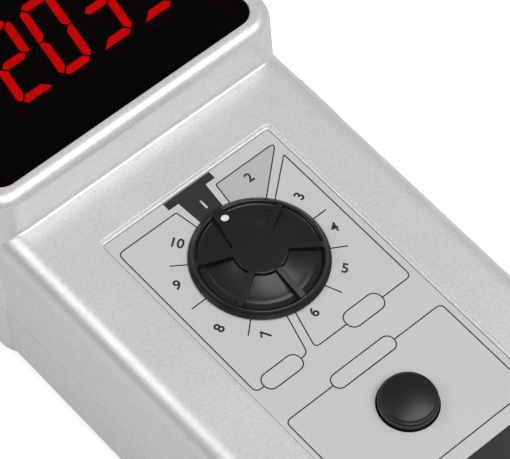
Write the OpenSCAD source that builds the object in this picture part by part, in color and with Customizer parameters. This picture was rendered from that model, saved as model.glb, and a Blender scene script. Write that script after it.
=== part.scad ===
// Handheld contact tachometer with an LED display head, a selector knob on the grip,
// a spinning contact tip at the nose and an optical window beside it.
// It lies on its back: +Y points to the tip, +Z out of the face, Z = 0 is the back.

/* [Case] */
// Height of the head's face above the grip's face
head_step = 8.4; // [8:0.1:10]
// Width of the head beyond the grip, on each side
head_side = 1; // [0.8:0.1:2]
// Run of the leaning wall between the two faces
step_run = 1.2; // [0.6:0.1:2]
// Wall of both shells
wall = 2.5; // [2:0.1:2.8]
// Wall of the head's face, which carries the window
face_wall = 3.4; // [3:0.1:3.8]
// Rounding of the grip's front edges
grip_edge_r = 4.5; // [3:0.1:5]
// Rounding of the head's front edges
head_edge_r = 2.4; // [1.6:0.1:3]
// Rounding of the back edges
back_edge_r = 5.5; // [4:0.1:6]
// Rounding of the tail's corners, seen from the front
tail_corner_r = 12; // [8:0.5:15]
// Rounding of the nose's corners, seen from the front
head_corner_r = 8; // [6:0.5:10]
// Rounding of the head's corners at the step
lip_corner_r = 6; // [5:0.5:8]
// Height of the lap joint between the shells
lap_h = 1.4; // [1:0.1:2]

/* [Display] */
// Flat band between the window and each side of the head
window_side = 3.4; // [3:0.1:5]
// Thickness of the window
window_t = 2; // [1.5:0.1:2.2]
// Rounding of the window's corners
window_r = 3.5; // [2:0.1:5]
// Flat band between the window and the head's lip
window_band = 3.3; // [3:0.1:4]
// Flat band between the window and the nose
window_nose_band = 10.2; // [8:0.1:12]
// Ledge that the window sits on
window_ledge = 1.5; // [1:0.1:2]
// Depth of the window below the head's face
window_sink = 0.15; // [0.05:0.05:0.4]
// Number of digits
digit_count = 5; // [5]
// Spacing of the digits
digit_pitch = 9; // [8.9:0.01:9.1]
// Length of a digit's module
digit_l = 21; // [20:0.1:22]
// Height of a digit's module
digit_h = 7; // [6.6:0.1:7.4]
// Height of the lit figure
figure_h = 16.2; // [15:0.1:17]
// Width of the lit figure
figure_w = 7; // [6.4:0.1:7.2]
// Width of a segment
segment_w = 1.5; // [1.2:0.1:1.8]
// Lean of the figure towards the right, in degrees
figure_lean = 10; // [6:0.5:12]

/* [Front panel] */
// Width of the recess
recess_w = 37.6; // [37:0.1:39]
// Depth of the recess
recess_depth = 0.9; // [0.7:0.05:1.1]
// Rounding of the recess's corners
recess_r = 1.2; // [0.8:0.1:2]
// Width of the step round the recess
recess_rim = 0.6; // [0.4:0.05:0.8]
// Depth of the step round the recess
rim_depth = 0.3; // [0.2:0.05:0.4]
// Thickness of the label
label_t = 0.3; // [0.2:0.05:0.5]
// Distance from the head's lip to the recess
recess_gap = 10.6; // [10:0.1:12]
// Distance from the tail to the recess
recess_tail_gap = 14.1; // [13:0.1:16]

/* [Selector knob] */
// Distance from the head's lip to the knob
dial_gap = 29.7; // [29:0.1:31]
// Diameter of the knob at its foot
knob_d = 23.8; // [22:0.1:25]
// Width of the knob's leaning skirt
knob_taper = 0.8; // [0.4:0.1:1.2]
// Height of the hub above the label
knob_h = 3; // [2.8:0.1:3.4]
// Height of the rim above the label
knob_rim_h = 1.35; // [1.1:0.05:1.6]
// Diameter of the hub
hub_d = 9.2; // [8.4:0.1:10]
// Width of the channel inside the knob's rim
channel_w = 1.05; // [0.8:0.05:1.3]
// Number of ribs, the pointer included
rib_count = 6; // [4:1:8]
// Width of a rib
rib_w = 1.1; // [0.8:0.1:1.4]
// Width of the pointer at its dot
pointer_w = 3; // [2.6:0.1:3.6]
// Diameter of the pointer's dot
dot_d = 1.5; // [1.2:0.1:1.8]
// Gap between the knob and the label
knob_gap = 0.25; // [0.2:0.05:0.4]

/* [Switch] */
// Side of the rotary switch's housing
switch_w = 18; // [16:0.5:20]
// Height of the rotary switch's housing
switch_h = 6; // [5.6:0.1:6.2]
// Diameter of the switch's shaft
spindle_d = 6; // [5:0.1:6.4]
// Number of terminals round the switch
terminal_count = 12; // [8:1:14]

/* [Buttons] */
// Distance from the knob to the memory button
memory_gap = 35.8; // [35:0.1:37]
// Diameter of the memory button
memory_d = 10; // [9.6:0.1:10.4]
// Diameter of the hole round the memory button
memory_hole_d = 10.6; // [10.5:0.1:11.2]
// Height of the memory button above the label
memory_h = 3; // [2.6:0.1:3.4]
// Length of the measuring button along the case
measure_l = 16; // [14:0.5:18]
// Width of the measuring button
measure_w = 7; // [6:0.1:7.4]
// Height of the measuring button above the side wall
measure_h = 1; // [0.6:0.1:1.4]
// Distance from the head's lip to the middle of the measuring button
measure_gap = 9.7; // [9.5:0.1:10]
// Travel of both buttons
travel = 0.8; // [0.5:0.1:1]
// Gap round a button
button_gap = 0.3; // [0.2:0.05:0.4]
// Thickness of a button's flange
flange_t = 1; // [0.8:0.1:1.2]
// Width of a button's flange beyond its cap
flange_w = 1.2; // [1:0.1:1.5]
// Side of a push switch
push_w = 6; // [5:0.1:6.5]
// Height of a push switch
push_h = 4; // [3.5:0.1:4.2]
// Diameter of a push switch's plunger
plunger_d = 3.4; // [3:0.1:3.6]

/* [Boards] */
// Thickness of the boards
board_t = 1.6; // [1.2:0.1:1.8]
// Room between the battery bay and the main board
bay_room = 4.85; // [4:0.05:6]
// Gap between the display board and each side wall
display_side_gap = 2.2; // [1.8:0.1:3]
// Gap between the display board and the wall under the head's lip
display_gap = 1.4; // [1:0.1:2]

/* [Contact spindle] */
// Diameter of the nose housing
nose_d = 12; // [11:0.1:13]
// Length of the nose housing
nose_l = 27; // [26:0.1:28]
// Length of the nose housing outside the case
nose_out = 5; // [4:0.1:6]
// Diameter of the spindle
shaft_d = 5; // [4:0.1:5.2]
// Radial running clearance of the spindle
run_gap = 0.03; // [0.02:0.01:0.06]
// Outer diameter of a bearing bush
bush_d = 8; // [7.4:0.1:8.4]
// Length of a bearing bush
bush_l = 6; // [5:0.1:7]
// Diameter of the encoder disc
disc_d = 22; // [20:0.1:22.4]
// Thickness of the encoder disc
disc_t = 0.8; // [0.6:0.1:1]
// Number of slots in the encoder disc
slot_count = 30; // [20:1:36]
// Length of the tip's hub
hub_l = 9; // [8.5:0.1:10]
// Diameter of the tip's hub
tip_hub_d = 9; // [8.4:0.1:9.4]
// Wall of the rubber cone round the hub
cone_wall = 1.5; // [1.2:0.1:2]
// Length of the rubber cone
cone_l = 14; // [13.5:0.1:16]

/* [Optics] */
// Diameter of the lens
lens_d = 14; // [13:0.1:14.4]
// Thickness of the lens
lens_t = 2; // [1.6:0.1:2.4]
// Length of the optics tube
tube_l = 19; // [18:0.1:20]
// Wall of the optics tube
tube_wall = 1.2; // [1:0.1:1.4]
// Diameter of the lamp and of the light detector
lamp_d = 5; // [4.6:0.1:5.2]

/* [Batteries] */
// Number of cells
cell_count = 4; // [4]
// Diameter of a cell
cell_d = 14.2; // [14:0.1:14.4]
// Length of a cell
cell_l = 50.2; // [49.8:0.1:50.4]
// Gap between two cells
cell_gap = 0.7; // [0.4:0.1:1]
// Length of a pressed contact spring
spring_l = 5.4; // [5:0.1:6.5]
// Thickness of the battery door
door_t = 2.1; // [1.8:0.1:2.2]
// Distance from the battery door to the side wall's inner face
door_side = 1.85; // [1.6:0.05:2.2]
// Distance from the tail to the first wall of the battery bay
bay_gap = 14; // [13.5:0.1:14.5]
// Inner wall of the battery bay
bay_wall = 1.5; // [1.2:0.1:1.6]

/* [Hidden] */

$fn = 64;
// Segments of the rounded corners that the case's outer form is stretched over
corner_fn = 32;
// Overrun of every cut
cut = 1;
// Clearance of a sliding piece, and of a seated piece
slide_gap = 0.15;
seat_gap = 0.1;

// Steps of the drawn curves, in degrees or in parts of a curve
arc_step = 30;
lamp_step = 15;
curve_steps = 8;
wire_sides = 6;

// The cells lie across the grip, and set its width
plate_t = 0.4;
cell_lift = 0.6;
cell_pitch = cell_d + cell_gap;
door_cut_t = door_t + slide_gap;
cell_z = door_cut_t + cell_lift + cell_d / 2;
bay_l = cell_pitch * cell_count + 2 * slide_gap;
bay_top = cell_z + cell_d / 2 + cell_lift;
grip_w = cell_l + spring_l + 2 * (plate_t + wall);
head_w = grip_w + 2 * head_side;
wall_in_x = grip_w / 2 - wall;

// Heights: the bay, the main board, the rotary switch and the grip's face stand on each other
switch_room = 1.9;
board_z = bay_top + bay_wall + bay_room;
board_top = board_z + board_t;
switch_top = board_top + switch_h;
face_in = switch_top + switch_room;
grip_h = face_in + wall;
head_h = grip_h + head_step;
head_in = head_h - face_wall;
label_z = grip_h - recess_depth;
label_top = label_z + label_t;
window_z = head_h - window_sink - window_t;
digit_z = head_in - digit_h;
display_z = digit_z - board_t;
floor_in = wall - seat_gap;
lean_share = step_run / head_step;

// The spindle turns in the plane of the parting line, clear of the floor
disc_floor_gap = 2;
split_h = wall + disc_d / 2 + disc_floor_gap;
lap_z = split_h + lap_h;

// Case screws: at the tail under the door, before the head, and at the nose
screw_d = 2.6;
screw_head_d = 5;
screw_head_t = 2;
screw_hole_d = 3.2;
screw_bite = 10;
cross_w = 0.7;
cross_depth = 1;
cross_share = 2 / 3;
boss_d = 6.8;
column_d = 7.8;
pocket_d = 6;
head_seat_z = 5.5;
boss_gap = 1.4;
boss_bay_gap = 2.7;
tail_screw_gap = 7.5;
tail_screw_in = 10.7;
side_screw_in = 5.5;
nose_screw_gap = 6.3;
nose_screw_in = 6.2;

// Nose and tip, from the nose wall forwards
nose_flange_d = 16;
nose_flange_t = 3.5;
nose_bore_d = 6.4;
nose_chamfer = 0.8;
bush_flange_t = 0.8;
bush_flange_d = 10;
collar_t = 2;
collar_d = 8;
tip_gap = 0.3;
shaft_tail = 12;
cone_cover_share = 0.6;
cone_back = hub_l * (1 - cone_cover_share);
tip_start = nose_out + bush_flange_t + collar_t + 2 * tip_gap;
tip_reach = tip_start + cone_back + cone_l;

// The header joins the boards, just inside the head
header_w = 25.4;
header_l = 2.5;
header_t = 2.5;
header_pin = 0.64;
header_pins = 10;
header_gap = 2.4;
header_edge = 3.5;
main_end_gap = 8;

// Lengths: the bay, the neck with the measuring button and the middle screws, then the head,
// which holds the end of the main board and the whole spindle
neck_l = measure_gap + measure_l / 2 + flange_w + boss_gap + boss_d + boss_bay_gap;
main_in_head = wall + display_gap + header_gap + header_l + header_edge;
head_l = main_in_head + main_end_gap + shaft_tail + nose_l - nose_out;
case_l = bay_gap + bay_l + neck_l + head_l;

// Places along the case
overall_l = case_l + tip_reach;
tail_y = -overall_l / 2;
head_y = tail_y + case_l;
lip_y = head_y - head_l;
dial_y = lip_y - dial_gap;
memory_y = dial_y - memory_gap;
measure_y = lip_y - measure_gap;
recess_l = case_l - head_l - recess_gap - recess_tail_gap;
recess_y = lip_y - recess_gap - recess_l / 2;
window_w = head_w - 2 * window_side;
window_l = head_l - window_band - window_nose_band;
window_y = lip_y + window_band + window_l / 2;
grip_end_y = head_y - head_corner_r;

// Places of the case screws
tail_screw_x = grip_w / 2 - tail_screw_in;
side_screw_x = grip_w / 2 - side_screw_in;
nose_screw_x = head_w / 2 - nose_screw_in;
tail_screw_y = tail_y + tail_screw_gap;
mid_screw_y = measure_y - measure_l / 2 - flange_w - boss_gap - boss_d / 2;
nose_screw_y = head_y - nose_screw_gap;

// Selector knob
knob_boss_d = 7.4;
knob_hole_d = 8;
knob_foot_z = label_top + knob_gap;
hub_z = label_top + knob_h;
hub_dome = 0.12;
hub_edge_r = 0.3;
hub_drop = 0.75;
bead_r = 0.3;
channel_edge = 0.45;
channel_low = 0.75;
knob_rim_d = knob_d - 2 * knob_taper;
channel_out_r = knob_rim_d / 2 - 3 * bead_r;
channel_d = 2 * (channel_out_r - channel_w);
scoop_d = channel_d - 2 * channel_edge;
scoop_low = 0.95;
rib_end_in = 0.65;
rib_end_d = knob_rim_d - 2 * rib_end_in;
rib_end_low = 1.6;
pointer_root_angle = 38;
pointer_root_share = 1.08;
pointer_end_share = 0.7;
dot_in = 1.7;
dot_ring_d = rib_end_d - 2 * dot_in;
dot_depth = 0.6;

// Rotary switch
bushing_d = 9;
bushing_top = face_in - knob_gap;
knob_boss_z = bushing_top + knob_gap;
shaft_reach_share = 0.45;
shaft_top = label_top + knob_h * shaft_reach_share;
flat_share = 0.75;
wiper_d = 11;
wiper_t = 1.2;
switch_floor = 1;
terminal_d = 0.8;
terminal_ring_d = 15;
terminal_out = 1.2;
detent_w = 2;

// Buttons, and the rounding of a pill's ends as a share of its width
pill_share = 0.49;
skirt_h = 1.3;
waist_h = 0.4;
waist_in = 0.6;
crown_in = 0.32;
crown_edge = 0.25;
button_edge_r = 0.4;
side_axis_h = 2;
measure_z = board_top + side_axis_h;
push_gap = 0.2;
plunger_depth = 2.2;
plunger_out = 2.5;
stem_d = 4;
stem_l = 2.9;
flange_in = 0.3;
flange_x = wall_in_x - flange_in - flange_t;

// Boards and their posts: the main board ends where the side switch meets its plunger
main_w = 2 * (flange_x - stem_l - plunger_out);
side_switch_x = main_w / 2 - push_h;
display_w = 2 * (head_w / 2 - wall - display_side_gap);
post_d = 5;
post_in = 2.9;
pad_w = 5;
pad_in = 3.9;
pad_reach = 2.5;
board_hole_d = 2.4;
board_screw_d = 2;
board_screw_head_d = 3.8;
board_screw_head_t = 1.4;
board_screw_l = 6;
main_y0 = tail_y + bay_gap;
main_y1 = lip_y + main_in_head;
front_post_side_gap = 1;
front_post_x = side_switch_x - front_post_side_gap - post_d / 2;
front_post_gap = 4.7;
display_end_gap = 10.4;
display_y0 = lip_y + wall + display_gap;
display_y1 = head_y - display_end_gap;
chip_w = 10;
chip_t = 1.5;
chip_y = (dial_y + memory_y) / 2 - chip_w / 4;
lead_w = 0.4;
lead_pitch = 1.1;
lead_out = 1.2;
lead_t = 0.4;
crystal_l = 11;
crystal_w = 4.6;
crystal_h = 3.5;
segment_gap_share = 1 / 10;

// Battery bay and door
bay_y = tail_y + bay_gap;
bay_end_y = bay_y + bay_l;
door_end_y = bay_end_y + bay_wall - slide_gap;
door_w = 2 * (wall_in_x - door_side);
rail_t = 0.5;
skirt_t = 1;
tongue_w = 1.2;
tongue_t = 0.9;
nub_d = 5.2;
nub_l = 1.2;
cell_edge = 0.6;
plate_w = 9;
skirt_gap = 0.675;
skirt_z = cell_z + plate_w / 2 + skirt_gap;
groove_count = 5;
groove_pitch = 2.4;
grip_groove_d = 3;
grip_groove_depth = 0.6;
grip_groove_l = 18;
grip_groove_gap = 6;

// Battery springs
wire_d = 0.8;
spring_r0 = 4;
spring_r1 = 2.4;
spring_turns = 3.5;
spring_rings = 8;
flat_turn_share = 0.25;

// Contact spindle, clear of the nose screw beside it
nose_side_gap = 1.6;
nose_x = nose_screw_x - column_d / 2 - nose_side_gap - nose_flange_d / 2;
nose_y = head_y + nose_out;
nose_back_y = nose_y - nose_l;
rib_t = 2.5;
nose_rib_y = nose_back_y + bush_l / 2;
collar_y = nose_y + bush_flange_t + tip_gap;
tip_y = head_y + tip_start;
shaft_back_y = nose_back_y - shaft_tail;
shaft_end_gap = 1.2;
disc_hub_l = 5;
disc_hub_d = 9;
disc_hub_y = shaft_back_y + shaft_end_gap;
disc_y = disc_hub_y + (disc_hub_l - disc_t) / 2;
slot_l = 2.2;
slot_w = 1;
slot_edge = 0.9;
clip_t = 0.6;
clip_d = 8;
clip_y = nose_back_y - bush_flange_t - tip_gap - clip_t;
groove_depth = 0.45;
clip_opening = 3.4;
hub_front_t = 1.3;
spigot_end_y = tip_y + hub_l - hub_front_t - tip_gap;
ring_w = 1;
ring_y = (tip_y + spigot_end_y - ring_w) / 2;
barb_out = 0.4;
barb_d = tip_hub_d + 2 * barb_out;
barb_l = 1;
cone_d = tip_hub_d + 2 * cone_wall;
cone_edge = 0.5;
cone_straight = 6.2;
cone_end_d = 2.4;

// Slot sensor
sensor_w = 6;
sensor_l = 8;
sensor_slot = 3;
sensor_reach = 6;
sensor_z = split_h + disc_d / 2 - sensor_reach;
sensor_gap = 1;

// Optics, clear of the nose screw beside them
tube_side_gap = 1.4;
tube_front_y = head_y - wall - seat_gap;
tube_back_y = tube_front_y - tube_l;
tube_d = lens_d + 2 * tube_wall;
lens_x = nose_screw_x - column_d / 2 - tube_side_gap - tube_d / 2;
tube_back_t = 4;
lens_seat = 1.2;
aperture_d = lens_d - 2 * lens_seat;
lens_curve_share = 1.3;
lamp_x_share = 0.22;
lamp_l = 8.6;
lamp_foot_t = 1;
lamp_foot_d = 5.8;
optics_board_w = 18;

// Outline shapes

module round_rect(w, l, r) {
    square([w - 2 * r, l], center = true);
    square([w, l - 2 * r], center = true);
    for (x = [-1, 1], y = [-1, 1])
        translate([x * (w / 2 - r), y * (l / 2 - r)]) circle(r = r);
}

module round_plate(w, l, h, r) {
    linear_extrude(height = h) round_rect(w, l, r);
}

// An outline that is l along Y and w along Z, extruded along X from x0 to x1
module side_plate(l, w, r, x0, x1, y, z) {
    translate([x0, y, z]) rotate([90, 0, 90]) round_plate(l, w, x1 - x0, r);
}

// A box from its low corner to its high corner
module span(x0, x1, y0, y1, z0, z1) {
    translate([x0, y0, z0]) cube([x1 - x0, y1 - y0, z1 - z0]);
}

// A cylinder along Y from y0 to y1, at x and z
module y_rod(d, y0, y1, x = 0, z = 0) {
    translate([x, y0, z]) rotate([-90, 0, 0]) cylinder(d = d, h = y1 - y0);
}

// A cylinder along X from x0 to x1, at y and z
module x_rod(d, x0, x1, y = 0, z = 0) {
    translate([x0, y, z]) rotate([0, 90, 0]) cylinder(d = d, h = x1 - x0);
}

// A turned form along Y: points are pairs of radius and place along Y
module y_turn(points, x = 0, z = 0) {
    translate([x, 0, z]) rotate([-90, 0, 0]) rotate_extrude() polygon(points);
}

// An upright block whose tail corners are rounded by r0 and its nose corners by r1
module plan_block(w, y0, y1, r0, r1, z0, z1) {
    translate([0, 0, z0]) linear_extrude(height = z1 - z0) {
        translate([-w / 2, y0 + r0]) square([w, y1 - y0 - r0 - r1]);
        translate([-w / 2 + r0, y0]) square([w - 2 * r0, (y1 - y0) / 2]);
        translate([-w / 2 + r1, (y0 + y1) / 2]) square([w - 2 * r1, (y1 - y0) / 2]);
        for (x = [-1, 1]) {
            translate([x * (w / 2 - r0), y0 + r0]) circle(r = r0);
            translate([x * (w / 2 - r1), y1 - r1]) circle(r = r1);
        }
    }
}

// One rounded corner of the case: a disc whose rim is rounded by edge_r
module corner_disc(corner_r, edge_r) {
    rotate_extrude($fn = corner_fn) intersection() {
        translate([corner_r - edge_r, 0]) circle(r = edge_r, $fn = corner_fn);
        translate([0, -edge_r]) square([corner_r, 2 * edge_r]);
    }
}

// The smooth outer form of one part of the case, stretched over its eight rounded corners.
// Its tail end leans, so that the foot of that wall lies further back than its lip.
module case_form(w, y0, y1, h, r0, r1, front_r, lean) {
    low_z = back_edge_r;
    high_z = h - front_r;
    hull() for (x = [-1, 1]) {
        translate([x * (w / 2 - r0), y0 + r0, high_z]) corner_disc(r0, front_r);
        translate([x * (w / 2 - r1), y1 - r1, high_z]) corner_disc(r1, front_r);
        translate([x * (w / 2 - r0), y0 + r0 - lean * (high_z - low_z), low_z])
            corner_disc(r0, back_edge_r);
        translate([x * (w / 2 - r1), y1 - r1, low_z]) corner_disc(r1, back_edge_r);
    }
}

module grip_form() {
    case_form(grip_w, tail_y, grip_end_y, grip_h, tail_corner_r, head_corner_r, grip_edge_r, 0);
}

module head_form() {
    case_form(head_w, lip_y, head_y, head_h, lip_corner_r, head_corner_r, head_edge_r, lean_share);
}

// The hollow of the case, or with a smaller inset the line of the lap joint
module hollow(inset, z0, grip_z1, head_z1) {
    plan_block(grip_w - 2 * inset, tail_y + inset, grip_end_y, tail_corner_r - inset,
        head_corner_r - inset, z0, grip_z1);
    plan_block(head_w - 2 * inset, lip_y + inset, head_y - inset, lip_corner_r - inset,
        head_corner_r - inset, z0, head_z1);
}

module screw_places() {
    for (x = [-1, 1]) {
        translate([x * tail_screw_x, tail_screw_y]) children();
        translate([x * side_screw_x, mid_screw_y]) children();
        translate([x * nose_screw_x, nose_screw_y]) children();
    }
}

module main_post_places() {
    for (x = [-1, 1]) {
        translate([x * (main_w / 2 - post_in), main_y0 + post_in]) children();
        translate([x * front_post_x, lip_y - front_post_gap]) children();
    }
}

module display_post_places() {
    for (x = [-1, 1], y = [display_y0 + post_in, display_y1 - post_in])
        translate([x * (display_w / 2 - pad_in), y]) children();
}

// Shells

module recess_cut() {
    inner_w = recess_w - 2 * recess_rim;
    inner_l = recess_l - 2 * recess_rim;
    translate([0, recess_y, grip_h - rim_depth])
        round_plate(recess_w, recess_l, rim_depth + cut, recess_r);
    translate([0, recess_y, label_z])
        round_plate(inner_w, inner_l, recess_depth + cut, recess_r - recess_rim / 2);
}

module window_cut() {
    opening_w = window_w - 2 * window_ledge;
    opening_l = window_l - 2 * window_ledge;
    translate([0, window_y, window_z])
        round_plate(window_w + 2 * seat_gap, window_l + 2 * seat_gap, window_t + cut, window_r);
    translate([0, window_y, head_in - cut])
        round_plate(opening_w, opening_l, face_wall, window_r - window_ledge / 2);
}

// The round holes at the nose: for the spindle's housing, and the lens to look through
module nose_holes() {
    y_rod(nose_d + seat_gap, nose_back_y, head_y + cut, -nose_x, split_h);
    y_rod(aperture_d, tube_front_y, head_y + cut, lens_x, split_h);
    y_rod(tube_d + seat_gap, nose_rib_y - cut, nose_rib_y + rib_t + cut, lens_x, split_h);
}

module front_case() color("silver") difference() {
    in_x = head_w / 2 - wall - seat_gap;
    pad_x = display_w / 2 - pad_in - pad_reach;
    union() {
        difference() {
            union() {
                grip_form();
                head_form();
            }
            span(-head_w, head_w, tail_y - cut, head_y + cut, -cut, split_h);
            hollow(wall, split_h - cut, face_in, head_in);
            hollow(wall / 2, split_h - cut, lap_z + slide_gap, lap_z + slide_gap);
        }
        intersection() {
            union() {
                screw_places() translate([0, 0, lap_z]) cylinder(d = boss_d, h = head_h);
                main_post_places() translate([0, 0, board_top]) cylinder(d = post_d, h = grip_h);
            }
            hollow(wall / 2, split_h, face_in + wall / 2, head_in + wall / 2);
        }
        for (x = [-1, 1], y = [display_y0 + post_in, display_y1 - post_in])
            translate([x * (in_x + wall / 2 + pad_x) / 2, y, digit_z + (digit_h - seat_gap) / 2])
                cube([in_x + wall / 2 - pad_x, pad_w, digit_h - seat_gap], center = true);
        span(-in_x, in_x, nose_rib_y, nose_rib_y + rib_t, split_h, display_z - seat_gap);
        span(-in_x - wall / 2, in_x + wall / 2, nose_rib_y, nose_rib_y + rib_t,
            lap_z + slide_gap, display_z - seat_gap);
    }
    recess_cut();
    window_cut();
    translate([0, dial_y, face_in - cut]) cylinder(d = knob_hole_d, h = wall + 2 * cut);
    translate([0, memory_y, face_in - cut]) cylinder(d = memory_hole_d, h = wall + 2 * cut);
    side_plate(measure_l + 2 * button_gap, measure_w + 2 * button_gap, measure_w * pill_share,
        wall_in_x - cut, grip_w / 2 + cut, measure_y, measure_z);
    nose_holes();
    screw_places() translate([0, 0, lap_z - cut]) cylinder(d = screw_d, h = screw_bite + cut);
    main_post_places() translate([0, 0, board_top - cut])
        cylinder(d = board_screw_d, h = board_screw_l - board_t + cut);
    display_post_places() translate([0, 0, display_z]) cylinder(d = board_screw_d, h = board_screw_l);
}

module rear_case() color("silver") difference() {
    rib_x = head_w / 2 - wall / 2;
    bay_x = wall_in_x - slide_gap;
    door_x = door_w / 2 + slide_gap;
    union() {
        difference() {
            union() {
                grip_form();
                head_form();
            }
            span(-head_w, head_w, tail_y - cut, head_y + cut, split_h, head_h + cut);
            hollow(wall, wall, split_h + cut, split_h + cut);
        }
        difference() {
            hollow(wall / 2 + slide_gap, split_h - lap_h, lap_z, lap_z);
            hollow(wall, split_h - lap_h - cut, lap_z + cut, lap_z + cut);
        }
        screw_places() translate([0, 0, floor_in]) cylinder(d = column_d, h = lap_z - floor_in);
        intersection() {
            span(-grip_w, grip_w, tail_y, bay_y, door_cut_t, door_cut_t + bay_wall);
            hollow(wall / 2, 0, split_h, split_h);
        }
        for (y = [bay_y - bay_wall, bay_end_y]) {
            span(-wall_in_x - wall / 2, wall_in_x + wall / 2, y, y + bay_wall, door_cut_t, split_h);
            span(-bay_x, bay_x, y, y + bay_wall, split_h - cut, bay_top + bay_wall);
        }
        span(-bay_x, bay_x, bay_y - bay_wall, bay_end_y + bay_wall, bay_top, bay_top + bay_wall);
        for (x = [-1, 1]) {
            translate([x * (bay_x - skirt_t / 2), (bay_y + bay_end_y) / 2, (skirt_z + bay_top) / 2])
                cube([skirt_t, bay_l + bay_wall, bay_top - skirt_z], center = true);
            translate([x * (door_x + wall_in_x + wall / 2) / 2, (bay_y + bay_end_y) / 2,
                door_cut_t + rail_t / 2])
                cube([wall_in_x + wall / 2 - door_x, bay_l + 2 * bay_wall, rail_t], center = true);
        }
        span(-rib_x, rib_x, nose_rib_y, nose_rib_y + rib_t, floor_in, split_h);
    }
    nose_holes();
    span(-door_x, door_x, tail_y - cut, door_end_y + slide_gap, -cut, door_cut_t);
    span(-door_x - tongue_w, door_x + tongue_w, tail_y - cut, door_end_y + slide_gap,
        door_t - tongue_t - slide_gap, door_cut_t);
    span(-door_x, door_x, bay_y, bay_end_y, -cut, wall + cut);
    screw_places() translate([0, 0, -cut]) {
        cylinder(d = pocket_d, h = head_seat_z + cut);
        cylinder(d = screw_hole_d, h = lap_z + 2 * cut);
    }
}

module battery_door() color("silver") difference() {
    intersection() {
        grip_form();
        union() {
            span(-door_w / 2, door_w / 2, tail_y, door_end_y, 0, door_t);
            span(-door_w / 2 - tongue_w, door_w / 2 + tongue_w, tail_y + tail_corner_r, door_end_y,
                door_t - tongue_t, door_t);
        }
    }
    for (i = [0 : groove_count - 1])
        x_rod(grip_groove_d, -grip_groove_l / 2, grip_groove_l / 2,
            door_end_y - grip_groove_gap - i * groove_pitch, grip_groove_depth - grip_groove_d / 2);
}

// A screw pointing up: its head's seat is at z = 0, and the cross is cut from below
module screw(d, head_d, head_t, l) {
    difference() {
        union() {
            translate([0, 0, -head_t]) cylinder(d = head_d, h = head_t);
            cylinder(d = d, h = l);
        }
        for (a = [0, 90]) rotate(a)
            translate([-head_d * cross_share / 2, -cross_w / 2, -head_t - cut])
                cube([head_d * cross_share, cross_w, cross_depth + cut]);
    }
}

module case_screws() color("dimgray") screw_places() translate([0, 0, head_seat_z])
    screw(screw_d, screw_head_d, screw_head_t, lap_z + screw_bite - head_seat_z);

// Front panel

module display_window() color([0.16, 0.02, 0.03]) translate([0, window_y, window_z])
    round_plate(window_w, window_l, window_t, window_r);

module label_panel() color("lightgray") difference() {
    translate([0, recess_y, label_z])
        round_plate(recess_w - 2 * recess_rim - 2 * seat_gap, recess_l - 2 * recess_rim - 2 * seat_gap,
            label_t, recess_r - recess_rim / 2);
    translate([0, dial_y, label_z - cut]) cylinder(d = knob_hole_d, h = label_t + 2 * cut);
    translate([0, memory_y, label_z - cut]) cylinder(d = memory_hole_d, h = label_t + 2 * cut);
}

// Selector knob

// A place on the scooped floor: share 0 at the channel, share 1 at the hub
function scoop_point(share) = [
    scoop_d / 2 + (hub_d - scoop_d) / 2 * share,
    label_top + scoop_low + (knob_h - hub_drop - scoop_low) * share * share
];

module knob_body() rotate_extrude() polygon(concat(
    [[0, knob_foot_z], [knob_d / 2, knob_foot_z]],
    [for (a = [0 : arc_step : 180])
        [knob_rim_d / 2 - bead_r + bead_r * cos(a), label_top + knob_rim_h - bead_r + bead_r * sin(a)]],
    [[channel_out_r, label_top + channel_low], [channel_d / 2, label_top + channel_low]],
    [for (i = [0 : curve_steps]) scoop_point(i / curve_steps)],
    [for (a = [0 : arc_step : 90])
        [hub_d / 2 - hub_edge_r + hub_edge_r * cos(a), hub_z - hub_dome - hub_edge_r + hub_edge_r * sin(a)]],
    [[0, hub_z]]
));

// The sloping height of the ribs and the pointer, from the hub's edge to their outer ends
rib_profile = [
    [0, knob_foot_z], [rib_end_d / 2, knob_foot_z], [rib_end_d / 2, label_top + rib_end_low],
    [hub_d / 2, hub_z - hub_dome], [0, hub_z - hub_dome]
];

module knob_rib() rotate([90, 0, 90]) linear_extrude(height = rib_w, center = true)
    polygon(rib_profile);

module knob_pointer() intersection() {
    root_r = hub_d / 2 * pointer_root_share;
    root = [root_r * sin(pointer_root_angle), root_r * cos(pointer_root_angle)];
    translate([0, 0, knob_foot_z]) linear_extrude(height = knob_h) polygon([
        [0, 0], root, [pointer_w / 2, dot_ring_d / 2],
        [pointer_w / 2 * pointer_end_share, rib_end_d / 2],
        [-pointer_w / 2 * pointer_end_share, rib_end_d / 2],
        [-pointer_w / 2, dot_ring_d / 2], [-root[0], root[1]]
    ]);
    rotate_extrude() polygon(rib_profile);
}

module dot_place() translate([0, dot_ring_d / 2, hub_z - hub_drop - scoop_low - dot_depth / 2])
    cylinder(d = dot_d, h = knob_h);

module selector_knob() color("#232426") translate([0, dial_y, 0]) difference() {
    union() {
        knob_body();
        knob_pointer();
        for (i = [1 : rib_count - 1]) rotate(-i * 360 / rib_count) knob_rib();
        translate([0, 0, knob_boss_z]) cylinder(d = knob_boss_d, h = hub_z - hub_drop - knob_boss_z);
    }
    shaft_form(spindle_d + seat_gap, knob_boss_z - cut, shaft_top + seat_gap);
    dot_place();
}

module knob_dot() color("white") translate([0, dial_y, 0]) intersection() {
    dot_place();
    rotate_extrude() polygon(rib_profile);
}

// The switch's shaft, with its flat above the bushing
module shaft_form(d, z0, z1) {
    difference() {
        translate([0, 0, z0]) cylinder(d = d, h = z1 - z0);
        translate([-d, d * (flat_share - 1 / 2), knob_boss_z]) cube([2 * d, d, z1]);
    }
}

module switch_shaft() color("silver") translate([0, dial_y, 0]) {
    wiper_z = board_top + switch_floor + seat_gap;
    shaft_form(spindle_d, wiper_z, shaft_top);
    translate([0, 0, wiper_z]) cylinder(d = wiper_d, h = wiper_t);
}

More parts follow.
